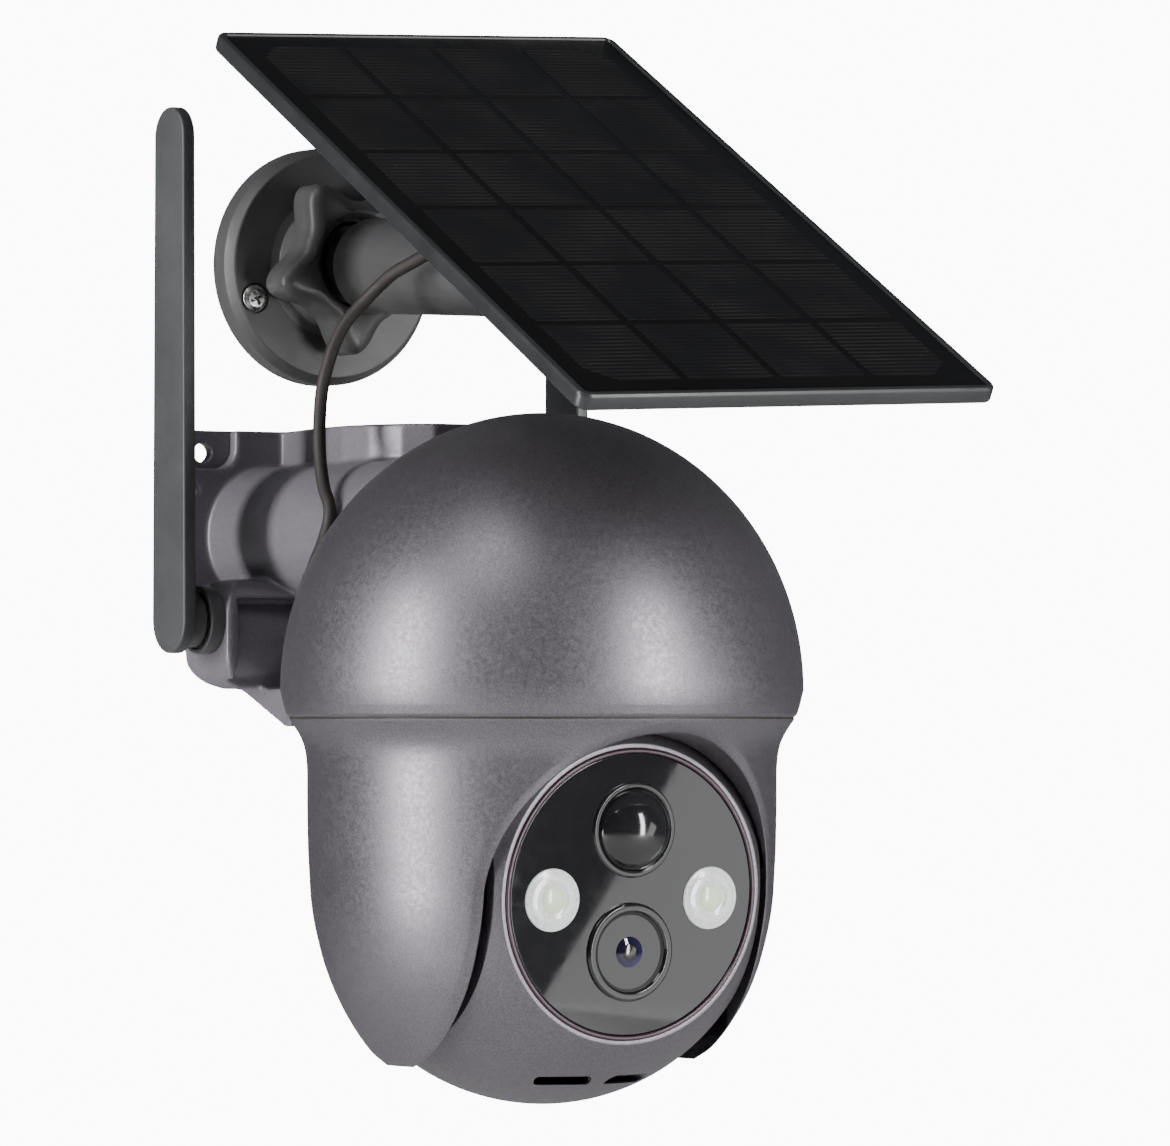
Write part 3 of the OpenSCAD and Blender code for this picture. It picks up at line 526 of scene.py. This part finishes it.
def yoke():
    low, arch_z, gap, rim, lip = -78, -40.5, 37, 2.3, 0.8
    # stations along the opening's edge: up the straight side, then round the arch
    stations = []
    for i in range(27):
        z = low + (arch_z - low) * (1 - math.cos(math.pi / 2 * i / 26))
        stations.append(((gap + rim, z), (gap, z)))
    for i in range(1, 61):
        a = math.pi / 2 * i / 60
        stations.append((((gap + rim) * math.cos(a), arch_z + (gap + rim) * math.sin(a)),
                         (gap * math.cos(a), arch_z + gap * math.sin(a))))
    verts, faces = [], []
    spans = 48

    def add_grid(rows):
        base = len(verts)
        n = len(rows[0])
        for row in rows:
            verts.extend(row)
        for i in range(len(rows) - 1):
            for k in range(n - 1):
                a = base + i * n + k
                faces.append((a, a + 1, a + n + 1, a + n))

    def depth(x, z):
        return math.sqrt(max(smooth_radius(z) ** 2 - x * x, 0))

    for side in (-1, 1):
        skin, rims = [], ([], [])
        for (xo, zo), (xi, zi) in stations:
            r = smooth_radius(zo)
            # the bevelled rim runs out to nothing at the cheek's rounded tip
            near = min(1, max(0, (zo - low) / 9))
            xo = min(gap + (xo - gap) * (0.05 + 0.95 * near), r - 0.02 - 0.13 * near)
            xi = min(xi, r - 0.02 - 0.98 * near)
            edge = math.acos(max(xo, 0) / r)
            skin.append([(side * r * math.cos(edge * (1 - 2 * k / spans)),
                          -r * math.sin(edge * (1 - 2 * k / spans)), zo)
                         for k in range(spans + 1)])
            ball = 50.9 ** 2 - xi ** 2 - (zi + 36.7) ** 2
            floor = 20 if zi < arch_z + 6 else math.sqrt(max(ball, 0)) + 0.6
            for store, s in zip(rims, (-1, 1)):
                row = []
                for f, sink in ((0, 0), (0.12, 0.04), (0.5, 0.45 * lip), (0.88, lip),
                                (1, lip + 0.4)):
                    x, z = xo + (xi - xo) * f, zo + (zi - zo) * f
                    row.append((side * x, s * max(depth(x, z) - sink, 0), z))
                row.append((side * xi, s * max(min(floor, depth(xi, zi) - lip - 0.6), 0), zi))
                store.append(row)
        add_grid(skin)
        add_grid(rims[0])
        add_grid(rims[1])
        # end of the cheek's tip
        add_grid([skin[0], [(side * gap, y, z) for x, y, z in skin[0]]])
    # full rings above the opening
    n = 2 * spans * 2
    cap = []
    top_z = arch_z + gap + rim
    for z in [top_z + (-0.4 - top_z) * i / 3 for i in range(4)]:
        r = smooth_radius(z)
        cap.append([(r * math.cos(2 * math.pi * k / n), r * math.sin(2 * math.pi * k / n), z)
                    for k in range(n + 1)])
    cap.append([(50 * x / 57, 50 * y / 57, -0.45) for x, y, z in cap[-1]])
    add_grid(cap)
    return piece("yoke_skin", verts, faces, SHELL, "yoke", ("yoke_shell",), 32,
                 at=shift(0, DOME_Y, SEAM_Z))


yoke()


# ---- ball head ----
BALL = shift(0, DOME_Y, BALL_Z) @ turn(4, "X")
# local axes for parts turned about the line of sight: Z of the lathe runs forwards (-Y)
FACE = BALL @ turn(90, "X")


def ball_half(name, front):
    """Half of the ball's shell, cut flat at its sides, with the front half's flat face open."""
    r0, face, wall = 50.7, FACE_DEPTH, 2.2
    if front:
        edge = math.degrees(math.asin(math.sqrt(r0 * r0 - face * face) / r0))
        start, stop = edge, 89.7
        arc = [(r0 * math.sin(math.radians(a)), r0 * math.cos(math.radians(a)))
               for a in [start + (stop - start) * i / 48 for i in range(49)]]
        rim = soft([(32.4, face - 0.9), (32.55, face), (arc[0][0], face), arc[1]], [0, 0.3, 0.7, 0])
        profile = rim[:-1] + arc[1:] + [(r0 - 0.5, 0.05), (r0 - wall, 0.05)]
        back = [(p[0] * (r0 - wall) / r0, p[1] * (r0 - wall) / r0) for p in arc[::-1][2:]]
        profile += back + [(31, face - 3)]
    else:
        arc = [(r0 * math.sin(math.radians(a)), -r0 * math.cos(math.radians(a)))
               for a in [89.7 * i / 56 for i in range(57)]]
        profile = arc + [(r0 - 0.5, -0.05), (r0 - wall, -0.05)]
        profile += [(p[0] * (r0 - wall) / r0, p[1] * (r0 - wall) / r0) for p in arc[::-1][2:]]
    loops = []
    n = 160
    for r, h in profile:
        r = max(r, 1e-4)
        loops.append([(r * math.cos(2 * math.pi * k / n), r * math.sin(2 * math.pi * k / n), h)
                      for k in range(n)])
    verts, faces = rings(loops, caps=(False, False), closed=front)
    obj = piece(name, verts, faces, SHELL, None, (), 38, FACE)
    b = bmesh.new()
    b.from_mesh(obj.data)
    for side in (-1, 1):
        cut = bmesh.ops.bisect_plane(
            b, geom=b.verts[:] + b.edges[:] + b.faces[:], dist=1e-7,
            plane_co=(side * 34.8 * MM, 0, 0), plane_no=(side, 0, 0), clear_outer=True)
        lines = [e for e in cut["geom_cut"] if isinstance(e, bmesh.types.BMEdge)]
        bmesh.ops.edgeloop_fill(b, edges=lines)
    bmesh.ops.recalc_face_normals(b, faces=b.faces)
    b.to_mesh(obj.data)
    b.free()
    return obj


def sound_slot(side):
    """A rounded bar that cuts one sound slot low on the ball's front."""
    outline = rect_loop(13, 2, 0.95, 0, 5)
    loops = [[(x, y, z) for x, y, _ in outline] for z in (-30, -7)]
    verts, faces = rings(loops)
    place = (shift(0, DOME_Y, BALL_Z) @ turn(side * 20.5, "Z") @ shift(0, 0, -44.3)
             @ Matrix.Rotation(math.radians(-90), 4, "X") @ Matrix.Scale(1, 4))
    return piece("cutter", verts, faces, BLACK, None, at=place)


front_half = ball_half("ball_front_skin", True)
carve(front_half, sound_slot(-1), sound_slot(1))
dress(front_half, SHELL, "ball", ("ball_front",))
rear_half = ball_half("ball_rear_skin", False)
dress(rear_half, SHELL, "ball", ("ball_rear",))


# ---- face: window, lens, motion sensor, lamps ----
WINDOW = glossy("window_acrylic", (0.012, 0.012, 0.013), 0.02, 0.3)
BEZEL = glossy("bezel_plum", (0.045, 0.018, 0.032), 0.2, 0.3)
RING = glossy("lens_ring_gloss", (0.01, 0.01, 0.011), 0.12, 0.5)
BAFFLE = moulded("lens_baffle", (0.006, 0.006, 0.007), 0.6, 2500, 0.00002)


def coated_glass():
    """A coated front element: dark, with blue and violet reflections that shift to the edge."""
    g = Graph("lens_coating")
    facing = g.add("LayerWeight")
    facing.inputs["Blend"].default_value = 0.35
    tint = g.blend(facing.outputs["Facing"], rgb(0.012, 0.012, 0.03), rgb(0.09, 0.05, 0.3))
    g.set(Base_Color=tint, Metallic=0.55, Roughness=g.remap(g.noise(400, 2), 0.03, 0.06))
    g.bump([(g.noise(70, 1), 0.03, 0.00001)])
    g.set(Coat_Weight=1.0, Coat_Roughness=0.02)
    return g.mat


def pir_plastic():
    """Dark polyethylene dome: fine lens facets just under a glossy skin."""
    g = Graph("pir_dome")
    g.set(Base_Color=g.blend(g.noise(90, 2), rgb(0.008, 0.008, 0.009), rgb(0.014, 0.014, 0.015)))
    g.set(Roughness=g.remap(g.noise(300, 3), 0.1, 0.17))
    g.bump([(g.cells(420), 0.12, 0.00006), (g.noise(1200, 1), 0.08, 0.00001)])
    g.set(Coat_Weight=0.6, Coat_Roughness=0.06)
    return g.mat


def lamp_plastic():
    """Frosted lamp lens: pearly, faintly prismatic."""
    g = Graph("lamp_lens")
    pearl = g.blend(g.remap(g.cells(900), 0, 1, 0, 0.6), rgb(0.62, 0.63, 0.62),
                    rgb(0.8, 0.82, 0.8))
    g.set(Base_Color=pearl, Roughness=g.remap(g.noise(500, 2), 0.16, 0.3))
    g.bump([(g.cells(1500), 0.35, 0.00006)])
    g.set(Coat_Weight=0.5, Coat_Roughness=0.05, Subsurface_Weight=0.2)
    g.set(Subsurface_Scale=0.002)
    return g.mat


def phosphor():
    g = Graph("lamp_phosphor")
    g.set(Base_Color=g.blend(g.cells(1600), rgb(0.62, 0.78, 0.48), rgb(0.75, 0.86, 0.62)))
    g.set(Roughness=g.remap(g.noise(700, 2), 0.3, 0.45))
    g.bump([(g.cells(1800), 0.3, 0.00004)])
    g.set(Coat_Weight=0.7, Coat_Roughness=0.04)
    return g.mat


GLASS = coated_glass()
PIR = pir_plastic()
LAMP = lamp_plastic()
GLOW = phosphor()


def on_face(x, z):
    """A lathe frame on the ball's face at (x, z), its height measured out of the face."""
    return FACE @ shift(x, z, FACE_DEPTH)


def dish_window():
    """The glossy round window: one whole disc with a rounded edge."""
    loops = []
    for r, h in soft([(0.01, 0), (31.25, 0), (31.4, -0.25), (31.4, -1.2)], [0, 0.2, 0.1, 0]):
        loops.append([(r * math.cos(2 * math.pi * k / 128), r * math.sin(2 * math.pi * k / 128), h)
                      for k in range(128)])
    loops = loops[1:] + [[(0.01 * x, 0.01 * y, -1.2) for x, y, z in loops[-1]]]
    verts, faces = rings(loops)
    return piece("face_window_sheet", verts, faces, WINDOW, "ball", ("face_window",), 30,
                 on_face(0, 0))


dish_window()
lathe("bezel_ring", soft([(31.5, -1.1), (31.5, 0.1), (31.75, 0.4), (32.2, 0.4), (32.45, 0.1),
                          (32.45, -1.1)], [0, 0.1, 0.15, 0.15, 0.1, 0]),
      BEZEL, "ball", ("face_bezel",), on_face(0, 0), 160, closed=True)

# lens: gloss ring, stepped baffles, domed front element with a smaller one behind it
lens_at = on_face(0, -12.8)
lathe("lens_ring", soft([(8.9, -1.4), (8.9, 0.5), (9.3, 1.0), (10.5, 1.0), (11, 0.5), (11, 0.02),
                         (10.8, -0.3)], [0, 0.2, 0.3, 0.3, 0.4, 0, 0]),
      RING, "ball", ("lens_barrel",), lens_at, 96)
step = [(8.9, 0.35), (8.3, 0.1), (8.3, -0.35), (7.6, -0.5), (7.6, -0.95), (6.9, -1.1),
        (6.9, -1.6), (6.2, -1.75), (6.2, -2.4), (0.01, -2.4)]
lathe("lens_baffles", [(8.95, -0.2)] + step, BAFFLE, "ball", (), lens_at, 96, 25)
glass = [(6.2 * math.sin(math.radians(a)) / math.sin(math.radians(62)),
          -2.35 + 3.1 * (math.cos(math.radians(a)) - math.cos(math.radians(62)))
          / (1 - math.cos(math.radians(62)))) for a in range(0, 63, 3)]
lathe("lens_front_glass", glass + [(6.2, -2.7)], GLASS, "ball", ("lens_glass",), lens_at, 96)
pupil = [(2.1 * math.sin(math.radians(a)), 0.5 + 0.5 * math.cos(math.radians(a)) - 0.12)
         for a in range(0, 91, 10)]
lathe("lens_pupil", pupil + [(2.1, 0.2)], RING, "ball", (), lens_at, 48, 38)

# motion sensor: a gloss collar and a dark dome
pir_at = on_face(0, 14.4)
dome_line = [(9.7 * math.sin(math.radians(a)), -2.6 + 8.4 * math.cos(math.radians(a)))
             for a in range(0, 73, 3)]
lathe("pir_dome", dome_line + [(9.45, -0.8)], PIR, "ball", ("pir_lens",), pir_at, 96)
lathe("pir_collar", soft([(9.2, -0.6), (9.2, 0.35), (9.6, 0.6), (10.3, 0.6), (10.7, 0.2),
                          (10.7, -0.2)], [0, 0.1, 0.2, 0.2, 0.2, 0]),
      RING, "ball", (), pir_at, 96, 38)

# lamps: pearly ring lens with a yellow-green emitter behind a raised middle
for side, word in ((-1, "left"), (1, "right")):
    lamp_at = on_face(side * 20.6, -1)
    lathe("lamp_lens_" + word, soft([(3.3, 0.55), (4.2, 0.9), (5.4, 0.75), (6.3, 0.45), (7, 0.3),
                                     (7, -0.3)], [0, 0.5, 0.6, 0.4, 0.3, 0]),
          LAMP, "ball", ("led_lenses",) if side < 0 else (), lamp_at, 72, 38)
    lathe("lamp_emitter_" + word, [(3.4 * math.sin(math.radians(a)),
                                    0.1 + 1.0 * math.cos(math.radians(a)))
                                   for a in range(0, 91, 10)],
          GLOW, "ball", (), lamp_at, 48, 38)


# ---- antennas ----
def antenna(side, word):
    r, x, y, z = 7.8, side * 53.3, -27.2, -14.5
    top = z - r + 126.5 - r
    outline = []
    for k in range(25):
        a = math.radians(180 + 180 * k / 24)
        outline.append((r * math.cos(a), z + r * math.sin(a), 0))
    for k in range(1, 12):
        t = k / 12
        outline.append((r - 0.8 * t, z + (top + 0.8 - z) * t, 0))
    for k in range(25):
        a = math.radians(180 * k / 24)
        outline.append(((r - 0.8) * math.cos(a), top + 0.8 + (r - 0.8) * math.sin(a), 0))
    for k in range(11, 0, -1):
        t = k / 12
        outline.append((0.8 * t - r, z + (top + 0.8 - z) * t, 0))
    at = shift(x, y, 0) @ turn(90, "Z") @ turn(90, "X")
    return slab("antenna_blade_" + word, outline, -1.6, 1.6, 0.55, BLADE, "antenna_" + word,
                (f"antenna_{word}_blade",), at, 4, 50)


for side, word in ((-1, "left"), (1, "right")):
    antenna(side, word)
    at = shift(0, -27.2, -14.5) @ turn(side * 90, "Y")
    lathe("antenna_knuckle_" + word, soft([(0.01, 41.9), (4.4, 41.9), (4.4, 44), (7.9, 44),
                                           (7.9, 47.6), (6.9, 47.6), (6.7, 46.9), (0.01, 46.9)],
                                          [0, 0, 0, 0.5, 0.5, 0.2, 0.2, 0], 4),
          DARK, "mount", (f"antenna_{word}_socket",), at, 72)
    lathe("antenna_pivot_" + word, soft([(0.01, 47.3), (5.6, 47.3), (6.4, 48.1), (6.4, 51.7),
                                         (0.01, 51.7)], [0, 0.3, 0.4, 0, 0]),
          DARK, "antenna_" + word, (f"antenna_{word}_pin",), at, 64)


# ---- wall bracket ----
def along_wall(y=0, z=BRACKET_Z):
    """A lathe frame at the bracket whose axis points away from the wall."""
    return shift(0, y, z) @ turn(90, "X")


plate = lathe("bracket_disc", soft([(10.3, 0.1), (28.25, 0), (28.25, 5.6), (26.5, 8), (17, 8),
                                    (14.9, 8.6), (14.5, 17.4), (10.2, 17.4), (10.2, 0.1)],
                                   [0, 0.6, 1.0, 0.9, 1.0, 0.5, 0.4, 0.3, 0], 5),
              DARK, None, (), along_wall(), 160, 35, True)
SCREW_ANGLES = (201, 21)
SCREW_CIRCLE = 22.7


def screw_places():
    for a in SCREW_ANGLES:
        a = math.radians(a)
        yield SCREW_CIRCLE * math.cos(a), BRACKET_Z + SCREW_CIRCLE * math.sin(a)


holes = []
for x, z in screw_places():
    holes.append(lathe("cutter", [(0.01, 7.3), (3.5, 7.3), (3.9, 9), (0.01, 9)], DARK, None, (),
                       shift(x, 0, z) @ turn(90, "X"), 40))
carve(plate, *holes)
dress(plate, DARK, "mount", ("bracket_plate",), 35)


def screws():
    """Two pan-head screws with cross recesses, in one piece."""
    heads = []
    for x, z in screw_places():
        at = shift(x, 0, z) @ turn(90, "X") @ turn(x * 3, "Z")
        head = lathe("screw", soft([(0.01, 9.0), (2.2, 8.85), (3.2, 8.1), (3.2, 7.3), (2, 7.3),
                                    (2, 0), (0.01, 0)], [0, 0.6, 0.4, 0, 0, 0.5, 0]),
                     SCREW, None, (), at, 48)
        cuts = []
        for bar in (0, 90):
            verts, faces = rings([rect_loop(3.6, 0.85, 0.2, h, 3) for h in (7.7, 9.6)])
            cuts.append(piece("cutter", verts, faces, SCREW, None, at=at @ turn(bar, "Z")))
        carve(head, *cuts)
        heads.append(head)
    b = bmesh.new()
    for head in heads:
        b.from_mesh(head.data)
        bpy.data.objects.remove(head)
    data = bpy.data.meshes.new("bracket_screw_heads")
    b.to_mesh(data)
    b.free()
    obj = bpy.data.objects.new("bracket_screw_heads", data)
    bpy.context.scene.collection.objects.link(obj)
    return dress(obj, SCREW, "mount", ("bracket_screws",), 35)


screws()


def star_nut():
    """Five round lobes with long hollow valleys, eased edges and a bored middle."""
    outline = []
    n = 240
    for k in range(n):
        a = 2 * math.pi * k / n
        c = 0.5 + 0.5 * math.cos(5 * (a - math.radians(51)))
        r = 14.9 + 6.6 * c ** 1.7
        outline.append((r * math.cos(a), r * math.sin(a), 0))
    loops = []
    for d, h in ((2.2, 12.05), (0.6, 12.1), (0.15, 12.4), (0, 12.9), (0, 19.6), (0.25, 20.5),
                 (0.9, 21.3), (1.9, 21.8), (3, 22)):
        loops.append([(x, y, h) for x, y, _ in inset_loop(outline, d, 0)])
    for r, h in ((12.6, 22), (11.6, 21.7), (10.7, 20.8), (10.6, 18.2), (14.55, 18.1),
                 (14.55, 12.05)):
        loops.append([(r * math.cos(2 * math.pi * k / n), r * math.sin(2 * math.pi * k / n), h)
                      for k in range(n)])
    verts, faces = rings(loops, closed=True)
    return piece("star_nut_body", verts, faces, DARK, "star_nut", ("star_nut",), 40,
                 at=along_wall())


star_nut()
ARM_REST = shift(0, -13, BRACKET_Z) @ turn(3.5, "X") @ turn(-2.2, "Y")
ARM = ARM_REST @ turn(90, "X")
ball_line = [(8.2 * math.sin(math.radians(a)), 8.2 * math.cos(math.radians(a)))
             for a in range(180, 45, -6)]
lathe("arm_tube", ball_line + soft([(6, 5.6), (7.4, 9.4), (9.6, 13), (11.2, 14.4),
                                    (11.2, 89.4), (10.5, 90.4), (0.01, 90.4)],
                                   [0, 0.5, 0.6, 0.8, 0, 0.6, 0]),
      DARK, "arm", (), ARM, 96)


def ears():
    """The fork at the arm's far end."""
    reach, r, half = 101.1, 8, 6.2
    a0 = math.degrees(math.asin(half / r))
    outline = [(-87, -half, 0), (-87, half, 0)]
    for k in range(33):
        a = math.radians(a0 + (360 - 2 * a0) * k / 32)
        outline.append((r * math.cos(a) - reach, r * math.sin(a), 0))
    at = ARM_REST @ turn(90, "Z") @ turn(90, "X")
    for side, word in ((-1, "left"), (1, "right")):
        z0 = 4.4 if side > 0 else -9
        slab("arm_ear_" + word, outline, z0, z0 + 4.6, 0.6, DARK, "arm",
             ("panel_arm",) if side > 0 else (), at, 3, 40)


ears()


# ---- solar panel ----
PANEL = ARM_REST @ shift(0, -101.1, 0) @ turn(26.4, "X") @ shift(0, -5.21, 18.7)


def panel_surface_mat(name, colour, lines=0.0, rough=0.3):
    """Laminated panel surface. lines: brightness of the printed silver fingers."""
    g = Graph(name)
    mapping = g.add("Mapping", vector_type="TEXTURE")
    g.join(g.co, mapping.inputs["Vector"])
    mapping.inputs["Location"].default_value = PANEL.to_translation() * MM
    mapping.inputs["Rotation"].default_value = PANEL.to_euler()
    at = mapping.outputs[0]
    r, gr, b = colour
    body = g.blend(g.remap(g.noise(24, 3, at=at), 0, 1), rgb(r, gr, b, 0.8), rgb(r, gr, b, 1.2))
    heights = [(g.noise(1300, 2), 0.25, 0.00002), (g.noise(30, 1, at=at), 0.1, 0.00012)]
    if lines:
        part = g.add("SeparateXYZ")
        g.join(at, part.inputs[0])
        wave = g.math("ABSOLUTE", g.math("SUBTRACT", g.math(
            "FRACT", g.math("MULTIPLY", part.outputs["Y"], 1 / 0.00168)), 0.5))
        finger = g.remap(wave, 1, 0, 0.12, 0.24)
        patchy = g.remap(g.noise(38, 3, at=at), 0.25, 1, 0.4, 0.6)
        body = g.blend(g.math("MULTIPLY", finger, patchy), body, rgb(lines, lines, lines, 1))
        heights.append((finger, 0.12, 0.00003))
    g.set(Base_Color=body, Roughness=g.remap(g.noise(160, 3), rough - 0.05, rough + 0.07))
    g.bump(heights)
    g.set(Coat_Weight=0.08, Coat_Roughness=0.2, Specular_IOR_Level=0.18)
    return g.mat


FRAME = moulded("panel_frame_black", (0.022, 0.023, 0.024), 0.36, 1700, 0.00002)
SHEET = panel_surface_mat("panel_sheet", (0.004, 0.004, 0.0043), 0, 0.34)
CELL = panel_surface_mat("panel_cell", (0.005, 0.005, 0.0055), 0.024, 0.32)


def panel():
    w, h = 107, 179
    steps = [(0.9, -4), (0.25, -3.85), (0, -3.4), (0, -0.95), (0.12, -0.5), (0.4, -0.15),
             (0.85, 0), (1.35, 0), (1.6, -0.1), (1.75, -0.45), (2.2, -0.5)]
    loops = [rect_loop(w - 2 * d, h - 2 * d, 3 - min(d, 2.4), z) for d, z in steps]
    verts, faces = rings(loops)
    piece("panel_rim", verts, faces, FRAME, "panel", ("panel_frame",), 28, PANEL)
    slab("panel_sheet", rect_loop(w - 3.9, h - 3.9, 1.3, 0), -0.62, -0.42, 0.08, SHEET, "panel",
         ("panel_glass",), PANEL, 2, 38)
    margin, gap = 7, 2
    cw, ch = (w - 2 * margin + gap) / 4, (h - 2 * margin + gap) / 6
    verts, faces = [], []
    for i in range(4):
        for j in range(6):
            x0, y0 = margin - w / 2 + i * cw, margin - h / 2 + j * ch
            x1, y1 = x0 + cw - gap, y0 + ch - gap
            corner_cut = 6 if (i in (0, 3) and j in (0, 5)) else 0.4
            corners = []
            for (cx, cy, sx, sy) in ((x0, y0, 1, 1), (x1, y0, -1, 1), (x1, y1, -1, -1),
                                     (x0, y1, 1, -1)):
                outer = (cx == (x0 if i == 0 else x1 if i == 3 else None)
                         and cy == (y0 if j == 0 else y1 if j == 5 else None))
                c = corner_cut if outer else 0.4
                pair = [(cx + sx * c, cy), (cx, cy + sy * c)]
                corners += pair[::-1] if sx * sy > 0 else pair
            lo = [(x, y, -0.5) for x, y in corners]
            hi = [(x, y, -0.37) for x, y in corners]
            v, f = rings([lo, hi], caps=(False, True))
            faces += [tuple(q + len(verts) for q in face) for face in f]
            verts += v
    piece("panel_cells", verts, faces, CELL, "panel", ("solar_cells",), 30, PANEL)


panel()

# moulded parts whose edges are eased on their CAD shape
softened("housing_body", "housing_shell", "mount", SHELL_WITH_PAINTED_FILL)
softened("housing_back", "back_plate", "mount", SHELL_WITH_PAINTED_FILL, 0.5, 4)
softened("panel_foot", "panel_bracket", "panel", DARK, 0.45, 3)
softened("panel_gland", "cable_gland", "panel", RUBBER, 0.2, 3)
softened("clamp_knob_body", "clamp_knob", "knob", DARK, 0.35, 4)
softened("plug_body", "cable_plug", "mount", RUBBER, 0.25, 3)


# ---- light ----
def softbox(name, place, target, width, height, watts, roll=0.0):
    data = bpy.data.lights.new(name, "AREA")
    data.shape = "RECTANGLE"
    data.size = width
    data.size_y = height
    data.energy = watts
    lamp = bpy.data.objects.new(name, data)
    lamp.location = place
    aim = Vector(target) - Vector(place)
    spin = Matrix.Rotation(math.radians(roll), 3, "Z").to_quaternion()
    lamp.rotation_euler = (aim.to_track_quat("-Z", "Y") @ spin).to_euler()
    bpy.context.scene.collection.objects.link(lamp)
    return lamp


def studio():
    world = bpy.data.worlds.new("studio")
    bpy.context.scene.world = world
    world.use_nodes = True
    tree = world.node_tree
    tree.nodes.clear()
    out = tree.nodes.new("ShaderNodeOutputWorld")
    mix = tree.nodes.new("ShaderNodeMixShader")
    seen = tree.nodes.new("ShaderNodeLightPath")
    dim = tree.nodes.new("ShaderNodeBackground")
    dim.inputs[0].default_value = (0.9, 0.93, 1.0, 1)
    dim.inputs[1].default_value = 0.09
    white = tree.nodes.new("ShaderNodeBackground")
    white.inputs[1].default_value = 14
    tree.links.new(seen.outputs["Is Camera Ray"], mix.inputs[0])
    tree.links.new(dim.outputs[0], mix.inputs[1])
    tree.links.new(white.outputs[0], mix.inputs[2])
    tree.links.new(mix.outputs[0], out.inputs[0])
    middle = (0, -0.1, -0.03)
    softbox("left_softbox", (-1.5, 0.03, 0.0), middle, 0.3, 1.7, 46)
    softbox("right_softbox", (0.52, -1.6, 0.0), middle, 0.26, 1.7, 44)
    softbox("top_left", (-0.9, -0.5, 1.2), (0, -0.05, 0.05), 0.7, 0.7, 6)
    softbox("window_card", (0.976, -1.305, -0.377), middle, 0.5, 1.2, 5, -29.5)


studio()


# ---- floor ----
def lay_floor():
    grid = bmesh.new()
    bmesh.ops.create_circle(grid, cap_ends=True, radius=2.4, segments=96)
    data = bpy.data.meshes.new("floor")
    grid.to_mesh(data)
    grid.free()
    data.materials.append(moulded("floor_paper", (0.8, 0.8, 0.8), 0.8, 300, 0.0001, 0.02))
    obj = bpy.data.objects.new("floor", data)
    obj.location = (0, -0.1, -0.45)
    bpy.context.scene.collection.objects.link(obj)


lay_floor()
